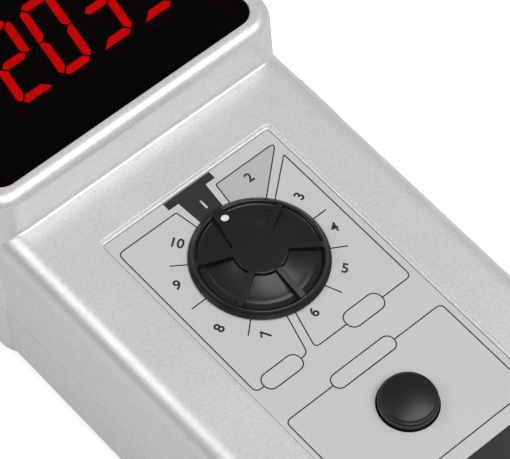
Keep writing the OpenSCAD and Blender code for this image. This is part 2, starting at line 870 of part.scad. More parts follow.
module rotary_switch() color("#2b4a3a") translate([0, dial_y, 0]) difference() {
    cavity_h = wiper_t + 2 * seat_gap;
    union() {
        translate([0, 0, board_top]) round_plate(switch_w, switch_w, switch_h, detent_w);
        translate([0, 0, board_top]) cylinder(d = bushing_d, h = bushing_top - board_top);
        for (a = [45 : 90 : 315]) rotate(a) translate([switch_w / 2 - detent_w / 2, 0, switch_top - cut])
            cylinder(d = detent_w, h = cut + detent_w / 4);
    }
    translate([0, 0, board_top + switch_floor]) {
        cylinder(d = wiper_d + 2 * slide_gap, h = cavity_h);
        cylinder(d = spindle_d + 2 * run_gap, h = bushing_top);
    }
}

module switch_terminals() color("gold") translate([0, dial_y, board_z - terminal_out])
    for (i = [0 : terminal_count - 1]) rotate((i + 1 / 2) * 360 / terminal_count)
        translate([terminal_ring_d / 2, 0, 0]) cylinder(d = terminal_d, h = terminal_out + board_t);

// Memory button and its switch

module memory_button() color("#202123") translate([0, memory_y, 0]) {
    flange_z = face_in - flange_in - flange_t;
    r = memory_d / 2;
    waist_r = r - waist_in;
    crown_r = r - crown_in;
    crown_z = label_top + skirt_h + waist_h;
    dome_z = crown_z + crown_in + crown_edge;
    dome_h = label_top + memory_h - dome_z;
    dome_edge = crown_r - crown_edge;
    ball_r = (dome_edge * dome_edge + dome_h * dome_h) / (2 * dome_h);
    dome_angle = asin(dome_edge / ball_r);
    rotate_extrude() polygon(concat(
        [[0, flange_z], [r + flange_w, flange_z], [r + flange_w, flange_z + flange_t],
            [r, flange_z + flange_t]],
        [for (a = [0 : arc_step : 90]) [r - button_edge_r + button_edge_r * cos(a),
            label_top + skirt_h - button_edge_r + button_edge_r * sin(a)]],
        [[waist_r, label_top + skirt_h], [waist_r, crown_z], [crown_r, crown_z],
            [crown_r, dome_z - crown_edge]],
        [for (i = [0 : curve_steps]) let (a = dome_angle * (1 - i / curve_steps))
            [ball_r * sin(a), label_top + memory_h - ball_r * (1 - cos(a))]]
    ));
}

module memory_plunger() color("red") translate([0, memory_y, 0]) {
    low = board_top + push_h - plunger_depth + travel + push_gap;
    translate([0, 0, low]) cylinder(d = plunger_d, h = face_in - flange_in - flange_t - low);
}

module memory_switch() color("#303236") translate([0, memory_y, board_top]) difference() {
    translate([-push_w / 2, -push_w / 2, 0]) cube([push_w, push_w, push_h]);
    translate([0, 0, push_h - plunger_depth]) cylinder(d = plunger_d + 2 * run_gap, h = push_h);
}

// Measuring button and its switch, in the side wall

module measure_button() color("#202123") {
    side_plate(measure_l, measure_w, measure_w * pill_share, flange_x, grip_w / 2 + measure_h,
        measure_y, measure_z);
    side_plate(measure_l + 2 * flange_w, measure_w + 2 * flange_w, measure_w * pill_share + flange_w,
        flange_x, flange_x + flange_t, measure_y, measure_z);
    x_rod(stem_d, flange_x - stem_l, flange_x + flange_t, measure_y, measure_z);
}

module measure_plunger() color("red")
    x_rod(plunger_d, main_w / 2 - plunger_depth + travel + push_gap, flange_x - stem_l,
        measure_y, measure_z);

module measure_switch() color("#303236") difference() {
    span(side_switch_x, main_w / 2, measure_y - push_w / 2, measure_y + push_w / 2, board_top,
        board_top + push_h);
    x_rod(plunger_d + 2 * run_gap, main_w / 2 - plunger_depth, main_w / 2 + cut, measure_y, measure_z);
}

// Boards and what they carry

module main_board() color("#1f6b3a") difference() {
    span(-main_w / 2, main_w / 2, main_y0, main_y1, board_z, board_top);
    main_post_places() translate([0, 0, board_z - cut]) cylinder(d = board_hole_d, h = board_t + 2 * cut);
    translate([0, dial_y, board_z - cut]) for (i = [0 : terminal_count - 1])
        rotate((i + 1 / 2) * 360 / terminal_count) translate([terminal_ring_d / 2, 0, 0])
            cylinder(d = terminal_d + seat_gap, h = board_t + 2 * cut);
}

module display_board() color("#1f6b3a") difference() {
    span(-display_w / 2, display_w / 2, display_y0, display_y1, display_z, digit_z);
    display_post_places() translate([0, 0, display_z - cut])
        cylinder(d = board_hole_d, h = board_t + 2 * cut);
}

// One point of a figure, leaned to the right
function lean_point(p) = [p[0] + p[1] * tan(figure_lean), p[1]];

// The six corners of a segment from p to q, pointed at both ends
function segment_points(p, q) =
    let (d = (q - p) / norm(q - p), n = [-d[1], d[0]], h = segment_w / 2,
        g = segment_w * segment_gap_share,
        a = p + d * g, b = q - d * g)
    [for (s = [a, a + (d + n) * h, b - (d - n) * h, b, b - (d + n) * h, a + (d - n) * h])
        lean_point(s)];

// A seven-segment module: its block leans with the figure, and the segments stand a little proud
module digit(i) {
    x = (figure_w - segment_w) / 2;
    y = (figure_h - segment_w) / 2;
    runs = [
        [[-x, y], [x, y]], [[-x, 0], [x, 0]], [[-x, -y], [x, -y]],
        [[-x, 0], [-x, y]], [[x, 0], [x, y]], [[-x, -y], [-x, 0]], [[x, -y], [x, 0]]
    ];
    color("#3a0d0d") translate([(i - (digit_count + 1) / 2) * digit_pitch, window_y, digit_z]) {
        block_h = digit_h - segment_w / 4;
        block_x = (digit_pitch - seat_gap) / 2;
        block_y = digit_l / 2;
        linear_extrude(height = block_h) polygon([for (p = [[-block_x, -block_y], [block_x, -block_y],
            [block_x, block_y], [-block_x, block_y]]) lean_point(p)]);
        translate([0, 0, block_h - segment_w / 4]) for (run = runs)
            linear_extrude(height = segment_w / 2) polygon(segment_points(run[0], run[1]));
    }
}

module board_header() color("#26282b") {
    y0 = display_y0 + header_gap;
    for (z = [board_top, display_z - header_t])
        span(-header_w / 2, header_w / 2, y0, y0 + header_l, z, z + header_t);
    for (i = [0 : header_pins - 1])
        translate([(i + 1 / 2 - header_pins / 2) * header_w / header_pins - header_pin / 2,
            y0 + (header_l - header_pin) / 2, board_top + header_t / 2])
            cube([header_pin, header_pin, display_z - board_top - header_t]);
}

module board_screws() color("dimgray") {
    main_post_places() translate([0, 0, board_z])
        screw(board_screw_d, board_screw_head_d, board_screw_head_t, board_screw_l);
    display_post_places() translate([0, 0, display_z])
        screw(board_screw_d, board_screw_head_d, board_screw_head_t, board_screw_l);
}

module controller_chip() color("#26282b") translate([0, chip_y, board_top]) {
    lead_count = floor((chip_w - 2 * lead_out) / lead_pitch);
    translate([-chip_w / 2, -chip_w / 2, lead_t / 2]) cube([chip_w, chip_w, chip_t]);
    for (x = [-1, 1], i = [0 : lead_count - 1])
        translate([x * chip_w / 2, (i - (lead_count - 1) / 2) * lead_pitch, lead_t])
            cube([2 * lead_out, lead_w, 2 * lead_t], center = true);
}

module crystal() color("silver")
    translate([chip_w + crystal_w, chip_y, board_top])
        round_plate(crystal_w, crystal_l, crystal_h, crystal_w * pill_share);

// Contact spindle

module nose_housing() color("#2a2b2d") difference() {
    r = nose_d / 2;
    y_turn([[0, nose_back_y], [r, nose_back_y], [r, head_y - wall - nose_flange_t],
        [nose_flange_d / 2, head_y - wall - nose_flange_t], [nose_flange_d / 2, head_y - wall],
        [r, head_y - wall], [r, nose_y - nose_chamfer], [r - nose_chamfer, nose_y], [0, nose_y]],
        -nose_x, split_h);
    y_rod(bush_d, nose_back_y - cut, nose_back_y + bush_l, -nose_x, split_h);
    y_rod(bush_d, nose_y - bush_l, nose_y + cut, -nose_x, split_h);
    y_rod(nose_bore_d, nose_back_y, nose_y, -nose_x, split_h);
}

// A flanged bush; side -1 has its flange at the back and 1 at the front
module bush(y, side) color("#b08d57") difference() {
    union() {
        y_rod(bush_d, y, y + bush_l, -nose_x, split_h);
        y_rod(bush_flange_d, side > 0 ? y + bush_l : y - bush_flange_t,
            side > 0 ? y + bush_l + bush_flange_t : y, -nose_x, split_h);
    }
    y_rod(shaft_d + 2 * run_gap, y - 2 * cut, y + bush_l + 2 * cut, -nose_x, split_h);
}

module contact_shaft() color("lightsteelblue") {
    r = shaft_d / 2;
    low_r = r - groove_depth;
    chamfer = groove_depth;
    y_turn([[0, shaft_back_y], [r - chamfer, shaft_back_y], [r, shaft_back_y + chamfer],
        [r, clip_y], [low_r, clip_y], [low_r, clip_y + clip_t], [r, clip_y + clip_t],
        [r, collar_y], [collar_d / 2, collar_y], [collar_d / 2, collar_y + collar_t],
        [r, collar_y + collar_t], [r, ring_y], [low_r, ring_y], [low_r, ring_y + ring_w],
        [r, ring_y + ring_w], [r, spigot_end_y - chamfer], [r - chamfer, spigot_end_y],
        [0, spigot_end_y]], -nose_x, split_h);
}

module retaining_clip() color("dimgray") difference() {
    y_rod(clip_d, clip_y, clip_y + clip_t, -nose_x, split_h);
    y_rod(shaft_d - 2 * groove_depth, clip_y - cut, clip_y + clip_t + cut, -nose_x, split_h);
    span(-nose_x - clip_opening / 2, -nose_x + clip_opening / 2, clip_y - cut, clip_y + clip_t + cut,
        split_h - clip_d, split_h);
}

module encoder_disc() color("#3b3d40") difference() {
    union() {
        y_rod(disc_hub_d, disc_hub_y, disc_hub_y + disc_hub_l, -nose_x, split_h);
        y_rod(disc_d, disc_y, disc_y + disc_t, -nose_x, split_h);
    }
    y_rod(shaft_d, disc_hub_y - cut, disc_hub_y + disc_hub_l + cut, -nose_x, split_h);
    translate([-nose_x, disc_y - cut, split_h]) for (i = [0 : slot_count - 1])
        rotate([0, i * 360 / slot_count, 0])
            translate([-slot_w / 2, 0, disc_d / 2 - slot_edge - slot_l])
                cube([slot_w, disc_t + 2 * cut, slot_l]);
}

module slot_sensor() color("#26282b") difference() {
    mid_y = disc_y + disc_t / 2;
    span(-nose_x - sensor_w / 2, -nose_x + sensor_w / 2, mid_y - sensor_l / 2, mid_y + sensor_l / 2,
        sensor_z, display_z);
    span(-nose_x - sensor_w, -nose_x + sensor_w, mid_y - sensor_slot / 2, mid_y + sensor_slot / 2,
        sensor_z - cut, split_h + disc_d / 2 + sensor_gap);
}

module tip_ring() color("black") difference() {
    y_rod(shaft_d, ring_y, ring_y + ring_w, -nose_x, split_h);
    y_rod(shaft_d - 2 * groove_depth, ring_y - cut, ring_y + ring_w + cut, -nose_x, split_h);
}

// The hub's outline, which is also the socket in the cone
function hub_outline() =
    let (r = tip_hub_d / 2, end = tip_y + hub_l, barb = end - 3 * barb_l)
    [[0, tip_y], [r, tip_y], [r, barb], [barb_d / 2, barb], [barb_d / 2, barb + barb_l],
        [r, barb + barb_l], [r, end], [0, end]];

module tip_hub() color("silver") difference() {
    y_turn(hub_outline(), -nose_x, split_h);
    y_rod(shaft_d + 2 * run_gap, tip_y - cut, spigot_end_y + tip_gap, -nose_x, split_h);
}

module contact_tip() color("#1d1d1f") difference() {
    r = cone_d / 2;
    y0 = tip_y + cone_back;
    end_r = cone_end_d / 2;
    y_turn(concat(
        [[0, y0], [r - cone_edge, y0], [r, y0 + cone_edge], [r, y0 + cone_straight]],
        [for (a = [0 : arc_step : 90]) [end_r * cos(a), y0 + cone_l - end_r + end_r * sin(a)]]
    ), -nose_x, split_h);
    y_turn(hub_outline(), -nose_x, split_h);
}

// Optics

module optics_tube() color("#202123") difference() {
    y_rod(tube_d, tube_back_y, tube_front_y, lens_x, split_h);
    y_rod(lens_d, tube_front_y - lens_t, tube_front_y + cut, lens_x, split_h);
    y_rod(aperture_d, tube_back_y + tube_back_t, tube_front_y, lens_x, split_h);
    for (x = [-1, 1])
        y_rod(lamp_d, tube_back_y - cut, tube_back_y + tube_back_t + cut,
            lens_x + x * lens_d * lamp_x_share, split_h);
}

module lens() color([0.8, 0.9, 1, 0.5]) {
    r = lens_d / 2;
    ball_r = lens_d * lens_curve_share;
    rim_angle = asin(r / ball_r);
    y_turn(concat(
        [[0, tube_front_y - lens_t], [r, tube_front_y - lens_t]],
        [for (i = [0 : curve_steps]) let (a = rim_angle * (1 - i / curve_steps))
            [ball_r * sin(a), tube_front_y - ball_r * (1 - cos(a))]]
    ), lens_x, split_h);
}

// A lamp or detector with a domed end and a flange at its foot, side -1 left or 1 right
module lamp(side) {
    r = lamp_d / 2;
    y_turn(concat(
        [[0, tube_back_y - lamp_foot_t], [lamp_foot_d / 2, tube_back_y - lamp_foot_t],
            [lamp_foot_d / 2, tube_back_y], [r, tube_back_y]],
        [for (a = [0 : lamp_step : 90])
            [r * cos(a), tube_back_y + lamp_l - lamp_foot_t - r + r * sin(a)]]
    ), lens_x + side * lens_d * lamp_x_share, split_h);
}

module optics_board() color("#1f6b3a")
    span(lens_x - optics_board_w / 2, lens_x + optics_board_w / 2,
        tube_back_y - lamp_foot_t - board_t, tube_back_y - lamp_foot_t,
        split_h - optics_board_w / 2, split_h + optics_board_w / 2);

// Batteries and their contacts: odd cells point right and even cells left

function cell_y(i) = bay_y + slide_gap + cell_pitch * (i - 1 / 2);
function cell_side(i) = i % 2 == 1 ? 1 : -1;
contact_x = wall_in_x - plate_t;

module battery(i) color("#4d5a66") translate([0, cell_y(i), cell_z])
    rotate([0, cell_side(i) * 90, 0]) rotate_extrude() polygon([
        [0, contact_x - cell_l], [cell_d / 2 - cell_edge, contact_x - cell_l],
        [cell_d / 2, contact_x - cell_l + cell_edge], [cell_d / 2, contact_x - nub_l - cell_edge],
        [cell_d / 2 - cell_edge, contact_x - nub_l], [nub_d / 2, contact_x - nub_l],
        [nub_d / 2, contact_x], [0, contact_x]
    ]);

// The right side joins cells 1-2 and 3-4, the left side joins cells 2-3
module contact_plates() color("silver") {
    for (pair = [[1, 1, 2], [1, 3, 4], [-1, 1, 1], [-1, 2, 3], [-1, 4, 4]])
        translate([pair[0] * (contact_x + plate_t / 2), (cell_y(pair[1]) + cell_y(pair[2])) / 2, cell_z])
            cube([plate_t, plate_w + cell_y(pair[2]) - cell_y(pair[1]), plate_w], center = true);
}

// A conical spring from z = 0 to z = l: rings of points along a helix, closed at both ends
module cone_spring(l) {
    n = round(spring_turns * spring_rings);
    m = wire_sides;
    place = function(i) let (t = i / n, a = 360 * spring_turns * t)
        [cos(a), sin(a), (spring_r0 + (spring_r1 - spring_r0) * t),
            wire_d / 2 + (l - wire_d) * min(1, max(0, (t - flat_turn_share) / (1 - 2 * flat_turn_share)))];
    points = [for (i = [0 : n], k = [0 : m - 1])
        let (p = place(i), a = 360 * k / m, r = p[2] + wire_d / 2 * cos(a))
        [p[0] * r, p[1] * r, p[3] + wire_d / 2 * sin(a)]];
    sides = [for (i = [0 : n - 1], k = [0 : m - 1], h = [0, 1]) let (j = (k + 1) % m, a = m * i)
        h == 0 ? [a + k, a + j, a + m + k] : [a + j, a + m + j, a + m + k]];
    caps = [for (k = [1 : m - 2]) [0, k + 1, k], for (k = [1 : m - 2]) [m * n, m * n + k, m * n + k + 1]];
    polyhedron(points, concat(sides, caps));
}

module contact_springs() color("silver") for (i = [1 : cell_count])
    translate([0, cell_y(i), cell_z]) rotate([0, cell_side(i) * 90, 0])
        translate([0, 0, -contact_x]) cone_spring(spring_l);

front_case();
rear_case();
display_window();
label_panel();
selector_knob();
knob_dot();
switch_shaft();
rotary_switch();
switch_terminals();
memory_button();
memory_plunger();
memory_switch();
measure_button();
measure_plunger();
measure_switch();
main_board();
display_board();
digit(1);  // digit_1
digit(2);  // digit_2
digit(3);  // digit_3
digit(4);  // digit_4
digit(5);  // digit_5
board_header();
board_screws();
controller_chip();
crystal();
nose_housing();
bush(nose_y - bush_l, 1);  // front_bush
bush(nose_back_y, -1);  // rear_bush
contact_shaft();
retaining_clip();
encoder_disc();
slot_sensor();
tip_ring();
tip_hub();
contact_tip();
optics_tube();
lens();
color("#b3001e") lamp(-1);  // light_source
color("#2b2b33") lamp(1);  // light_detector
optics_board();
battery_door();
battery(1);  // battery_1
battery(2);  // battery_2
battery(3);  // battery_3
battery(4);  // battery_4
contact_plates();
contact_springs();
case_screws();
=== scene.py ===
import math

import bpy
import numpy as np
from mathutils import Matrix, Vector


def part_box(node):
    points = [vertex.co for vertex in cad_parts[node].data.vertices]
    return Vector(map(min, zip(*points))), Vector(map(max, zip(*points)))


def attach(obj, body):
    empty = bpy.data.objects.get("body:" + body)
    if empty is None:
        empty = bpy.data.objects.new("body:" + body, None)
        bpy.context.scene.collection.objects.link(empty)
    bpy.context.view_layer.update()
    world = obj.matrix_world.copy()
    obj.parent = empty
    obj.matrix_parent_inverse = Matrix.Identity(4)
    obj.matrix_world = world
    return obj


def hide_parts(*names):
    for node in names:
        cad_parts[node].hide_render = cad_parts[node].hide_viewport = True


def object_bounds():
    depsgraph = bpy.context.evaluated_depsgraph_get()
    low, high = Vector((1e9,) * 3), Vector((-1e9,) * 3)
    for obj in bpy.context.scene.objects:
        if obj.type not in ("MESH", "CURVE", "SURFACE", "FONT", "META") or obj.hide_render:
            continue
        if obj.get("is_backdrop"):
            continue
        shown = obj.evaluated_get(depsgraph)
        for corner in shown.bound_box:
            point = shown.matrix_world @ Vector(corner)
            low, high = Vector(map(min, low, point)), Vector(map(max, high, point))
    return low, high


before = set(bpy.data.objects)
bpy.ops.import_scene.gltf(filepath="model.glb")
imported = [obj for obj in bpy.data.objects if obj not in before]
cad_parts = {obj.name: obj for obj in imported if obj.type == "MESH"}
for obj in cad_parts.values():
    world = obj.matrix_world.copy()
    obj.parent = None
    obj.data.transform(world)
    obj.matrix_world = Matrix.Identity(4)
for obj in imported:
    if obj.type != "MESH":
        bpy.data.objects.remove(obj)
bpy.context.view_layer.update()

mm = 0.001


def nodeBox(name):
    # lowest and highest corner of a frame node, in millimetres
    return np.array(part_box(name)) * 1000


caseBox = nodeBox("front_case")
labelBox = nodeBox("label_panel")
windowBox = nodeBox("display_window")
knobBox = nodeBox("selector_knob")
memoryBox = nodeBox("memory_button")
splitHeight = caseBox[0, 2]  # the parting line
labelTop = labelBox[1, 2]
dialCentre = (knobBox[0, :2] + knobBox[1, :2]) / 2
memoryCentre = (memoryBox[0, :2] + memoryBox[1, :2]) / 2


# Meshes

def newObject(name, data):
    thing = bpy.data.objects.new(name, data)
    bpy.context.scene.collection.objects.link(thing)
    return thing


def weightNormals(piece):
    weighted = piece.modifiers.new("weighted", "WEIGHTED_NORMAL")
    weighted.keep_sharp = True
    weighted.weight = 100


def addMesh(name, points, faces, body, finish, sharpAngle=28):
    # points in millimetres, faces as lists of point numbers
    mesh = bpy.data.meshes.new(name)
    mesh.from_pydata((np.asarray(points) * mm).tolist(), [], faces)
    mesh.update()
    piece = newObject(name, mesh)
    if finish:
        mesh.materials.append(finish)
    smoothMesh(mesh, sharpAngle)
    if body:
        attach(piece, body)
    return piece


def smoothMesh(mesh, sharpAngle=28):
    mesh.polygons.foreach_set("use_smooth", np.ones(len(mesh.polygons), dtype=bool))
    mesh.set_sharp_from_angle(angle=math.radians(sharpAngle))
    mesh.update()


def gridFaces(rows, columns, first=0):
    # quads between neighbouring rings of a closed grid, facing outwards when rings turn left and rows climb
    number = first + np.arange(rows * columns).reshape(rows, columns)
    low, high = number[:-1], number[1:]
    return np.stack([low, np.roll(low, -1, 1), np.roll(high, -1, 1), high], -1).reshape(-1, 4).tolist()


def ringStack(name, rings, body=None, finish=None, sharpAngle=28):
    # a stack of closed rings, joined ring to ring, with a fan to the middle point at both ends
    rings = np.asarray(rings, dtype=float)
    rows, columns = rings.shape[:2]
    points = np.concatenate([rings.reshape(-1, 3), rings[0].mean(0)[None], rings[-1].mean(0)[None]])
    step = np.arange(columns)
    following = np.roll(step, -1)
    lastRow = (rows - 1) * columns
    lowPole = np.full(columns, rows * columns)
    faces = gridFaces(rows, columns)
    faces += np.stack([lowPole, following, step], -1).tolist()
    faces += np.stack([lowPole + 1, lastRow + step, lastRow + following], -1).tolist()
    return addMesh(name, points, faces, body, finish, sharpAngle)


def turned(name, profile, centre, body=None, finish=None, axis="z", steps=96, sharpAngle=28):
    # a profile of (radius, height) turned round an axis: x = r cos a, y = r sin a, z = height
    profile = np.asarray(profile, dtype=float)
    angle = np.linspace(0, 2 * np.pi, steps, endpoint=False)
    radius, height = profile[:, 0, None], profile[:, 1, None]
    around = np.stack([radius * np.cos(angle), radius * np.sin(angle), height + 0 * angle], -1)
    if axis == "y":  # turned about +Y, seen along it: (r cos a, height, -r sin a)
        around = np.stack([around[..., 0], around[..., 2], -around[..., 1]], -1)
    return ringStack(name, around + np.asarray(centre), body, finish, sharpAngle)


def arc(middle, radius, start, end, steps):
    # points on an arc, angles in degrees from the first axis
    angle = np.radians(np.linspace(start, end, steps + 1))
    return np.stack([middle[0] + radius * np.cos(angle), middle[1] + radius * np.sin(angle)], -1)


def carve(target, tool, operation="DIFFERENCE"):
    cut = target.modifiers.new("carve", "BOOLEAN")
    cut.operation = operation
    cut.solver = "EXACT"
    cut.object = tool
    bpy.context.view_layer.objects.active = target
    bpy.ops.object.modifier_apply(modifier="carve")
    bpy.data.objects.remove(tool)


def blockMesh(name, low, high):
    # a box between two corners, as two square rings
    low, high = np.asarray(low, dtype=float), np.asarray(high, dtype=float)
    square = np.array([[0, 0], [1, 0], [1, 1], [0, 1]])
    flat = low[:2] + square * (high[:2] - low[:2])
    rings = [np.c_[flat, np.full(4, level)] for level in (low[2], high[2])]
    return ringStack(name, rings)


# Outlines

def outline(halfWidth, tail, nose, tailRadius, noseRadius, cornerSteps=12, sideSteps=10):
    # a rounded rectangle as skeleton, radius and normal: point = skeleton + (radius - inset) * normal.
    # The last array is 1 at the tail's corners and 0 at the nose's, for walls that lean.
    xTail, xNose = halfWidth - tailRadius, halfWidth - noseRadius
    middles = np.array([[xNose, nose - noseRadius], [-xNose, nose - noseRadius],
                        [-xTail, tail + tailRadius], [xTail, tail + tailRadius]])
    radii = np.array([noseRadius, noseRadius, tailRadius, tailRadius])
    tailShare = np.array([0.0, 0.0, 1.0, 1.0])
    skeleton, radius, angle, share = [], [], [], []
    for corner in range(4):
        turn = np.linspace(corner, corner + 1, cornerSteps + 1) * 90
        after = (corner + 1) % 4
        along = np.linspace(0, 1, sideSteps + 1)[1:-1]
        skeleton += [np.repeat(middles[corner][None], cornerSteps + 1, 0),
                     middles[corner] + along[:, None] * (middles[after] - middles[corner])]
        radius += [np.full(cornerSteps + 1, radii[corner]),
                   radii[corner] + along * (radii[after] - radii[corner])]
        angle += [turn, np.full(sideSteps - 1, turn[-1])]
        share += [np.full(cornerSteps + 1, tailShare[corner]),
                  tailShare[corner] + along * (tailShare[after] - tailShare[corner])]
    angle = np.radians(np.concatenate(angle))
    normal = np.stack([np.cos(angle), np.sin(angle)], -1)
    return np.concatenate(skeleton), np.concatenate(radius), normal, np.concatenate(share)


def ringAt(shape, inset, height):
    skeleton, radius, normal = shape[:3]
    flat = skeleton + (radius - inset)[:, None] * normal
    return np.c_[flat, np.zeros(len(flat)) + height]


def smoothStep(x, start, end):
    # 0 up to start, 1 from end on, and 3 s^2 - 2 s^3 between them
    share = np.clip((x - start) / (end - start), 0, 1)
    return share * share * (3 - 2 * share)


# Shader groups

def newGroup(name, inputs, outputs):
    group = bpy.data.node_groups.new(name, "ShaderNodeTree")
    for label, kind, value in inputs:
        socket = group.interface.new_socket(label, in_out="INPUT", socket_type=kind)
        socket.default_value = value
    for label, kind in outputs:
        group.interface.new_socket(label, in_out="OUTPUT", socket_type=kind)
    source = group.nodes.new("NodeGroupInput")
    sink = group.nodes.new("NodeGroupOutput")
    return group, source, sink


def noiseNode(tree, scale, detail, roughness=0.5):
    node = tree.nodes.new("ShaderNodeTexNoise")
    node.inputs["Scale"].default_value = scale
    node.inputs["Detail"].default_value = detail
    node.inputs["Roughness"].default_value = roughness
    return node


def rangeNode(tree, low, high, toLow, toHigh):
    node = tree.nodes.new("ShaderNodeMapRange")
    for label, value in zip(("From Min", "From Max", "To Min", "To Max"), (low, high, toLow, toHigh)):
        node.inputs[label].default_value = value
    return node


def speckleGroup():
    # fine flakes: two noises of different size lighten and darken a colour
    group, source, sink = newGroup("fine speckle", [
        ("Color", "NodeSocketColor", (0.5, 0.5, 0.5, 1)), ("Amount", "NodeSocketFloat", 0.1),
        ("Scale", "NodeSocketFloat", 2000)], [("Color", "NodeSocketColor")])
    place = group.nodes.new("ShaderNodeTexCoord")
    fine = noiseNode(group, 1, 2, 0.6)
    coarse = noiseNode(group, 60, 3, 0.55)
    spread = rangeNode(group, 0.3, 0.7, -1, 1)
    slow = rangeNode(group, 0.3, 0.7, -0.35, 0.35)
    total = group.nodes.new("ShaderNodeMath")
    total.operation = "ADD"
    strength = group.nodes.new("ShaderNodeMath")
    strength.operation = "MULTIPLY_ADD"
    strength.inputs[2].default_value = 1
    scaled = group.nodes.new("ShaderNodeVectorMath")
    scaled.operation = "SCALE"
    link = group.links.new
    for noise in (fine, coarse):
        link(place.outputs["Object"], noise.inputs["Vector"])
    link(source.outputs["Scale"], fine.inputs["Scale"])
    link(fine.outputs["Fac"], spread.inputs["Value"])
    link(coarse.outputs["Fac"], slow.inputs["Value"])
    link(spread.outputs["Result"], total.inputs[0])
    link(slow.outputs["Result"], total.inputs[1])
    link(total.outputs[0], strength.inputs[0])
    link(source.outputs["Amount"], strength.inputs[1])
    link(source.outputs["Color"], scaled.inputs[0])
    link(strength.outputs[0], scaled.inputs["Scale"])
    link(scaled.outputs[0], sink.inputs["Color"])
    return group


def grainGroup():
    # moulded grain: a height for bump and a roughness that wanders a little, as from handling
    group, source, sink = newGroup("moulded grain", [
        ("Scale", "NodeSocketFloat", 1500), ("Roughness", "NodeSocketFloat", 0.4),
        ("Smudge", "NodeSocketFloat", 0.05)],
        [("Height", "NodeSocketFloat"), ("Roughness", "NodeSocketFloat")])
    place = group.nodes.new("ShaderNodeTexCoord")
    grain = noiseNode(group, 1, 4, 0.65)
    smudge = noiseNode(group, 45, 3, 0.6)
    swing = rangeNode(group, 0.3, 0.7, -1, 1)
    total = group.nodes.new("ShaderNodeMath")
    total.operation = "MULTIPLY_ADD"
    link = group.links.new
    for noise in (grain, smudge):
        link(place.outputs["Object"], noise.inputs["Vector"])
    link(source.outputs["Scale"], grain.inputs["Scale"])
    link(smudge.outputs["Fac"], swing.inputs["Value"])
    link(swing.outputs["Result"], total.inputs[0])
    link(source.outputs["Smudge"], total.inputs[1])
    link(source.outputs["Roughness"], total.inputs[2])
    link(grain.outputs["Fac"], sink.inputs["Height"])
    link(total.outputs[0], sink.inputs["Roughness"])
    return group


speckle = speckleGroup()
grain = grainGroup()

# A finish's values: colour, roughness, metal, specks (share, scale per metre), grain (depth mm, scale)
# and, where it has one, a clear coat
finishValues = {
    "case_paint": dict(color=(0.77, 0.765, 0.78), rough=0.37, metal=0.42, specks=(0.08, 2200),
                       grain=(0.012, 1800)),
    "label": dict(color=(0.60, 0.60, 0.61), rough=0.40, metal=0.1, specks=(0.02, 2200),
                  grain=(0.004, 1500)),
    "contact_area": dict(color=(0.50, 0.495, 0.51), rough=0.40, metal=0.1, specks=(0.02, 2200),
                         grain=(0.004, 1500)),
    "ink": dict(color=(0.020, 0.019, 0.021), rough=0.45, metal=0, specks=(0.12, 1800),
                grain=(0.004, 1500)),
    "light_ink": dict(color=(0.7, 0.7, 0.71), rough=0.45, metal=0, specks=(0.04, 1800),
                      grain=(0.004, 1500)),
    "black_plastic": dict(color=(0.006, 0.006, 0.0068), rough=0.31, metal=0, specks=(0.10, 1500),
                          grain=(0.006, 1400)),
    "button_plastic": dict(color=(0.005, 0.005, 0.0055), rough=0.36, metal=0, specks=(0.10, 1500),
                           grain=(0.004, 1200)),
    "white_fill": dict(color=(0.82, 0.83, 0.80), rough=0.4, metal=0, specks=(0.03, 1500),
                       grain=(0.01, 1500)),
    "steel": dict(color=(0.56, 0.56, 0.57), rough=0.28, metal=1, specks=(0.06, 900),
                  grain=(0.003, 900)),
    "spring_steel": dict(color=(0.62, 0.62, 0.61), rough=0.22, metal=1, specks=(0.05, 900),
                         grain=(0.002, 900)),
    "switch_body": dict(color=(0.03, 0.07, 0.05), rough=0.45, metal=0, specks=(0.08, 1500),
                        grain=(0.01, 1500)),
    "brass": dict(color=(0.70, 0.50, 0.22), rough=0.3, metal=1, specks=(0.08, 1200),
                  grain=(0.003, 1200)),
    "bronze": dict(color=(0.45, 0.30, 0.15), rough=0.45, metal=1, specks=(0.15, 2500),
                   grain=(0.012, 2500)),
    "plunger": dict(color=(0.50, 0.03, 0.03), rough=0.4, metal=0, specks=(0.06, 1500),
                    grain=(0.008, 1500)),
    "dark_plastic": dict(color=(0.022, 0.023, 0.025), rough=0.42, metal=0, specks=(0.10, 1500),
                         grain=(0.008, 1400)),
    "board": dict(color=(0.02, 0.16, 0.06), rough=0.35, metal=0, specks=(0.15, 700),
                  grain=(0.01, 700), coat=0.3),
    "disc": dict(color=(0.10, 0.10, 0.11), rough=0.4, metal=1, specks=(0.08, 1500),
                 grain=(0.004, 1500)),
    "rubber": dict(color=(0.02, 0.02, 0.021), rough=0.62, metal=0, specks=(0.15, 1300),
                   grain=(0.02, 1300)),
    "aluminium": dict(color=(0.70, 0.70, 0.72), rough=0.3, metal=1, specks=(0.05, 1100),
                      grain=(0.003, 1100)),
    "lamp_red": dict(color=(0.5, 0.01, 0.01), rough=0.15, metal=0, specks=(0.04, 900),
                     grain=(0.002, 900), coat=0.4),
    "lamp_dark": dict(color=(0.03, 0.03, 0.04), rough=0.15, metal=0, specks=(0.04, 900),
                      grain=(0.002, 900), coat=0.4),
    "digit": dict(color=(0.020, 0.006, 0.006), rough=0.5, metal=0, specks=(0.1, 900),
                  grain=(0.004, 900)),
    "cell": dict(color=(0.12, 0.16, 0.20), rough=0.3, metal=0.4, specks=(0.06, 900),
                 grain=(0.003, 900), coat=0.5),
}
smudgeShare = 0.12  # how far handling changes a roughness


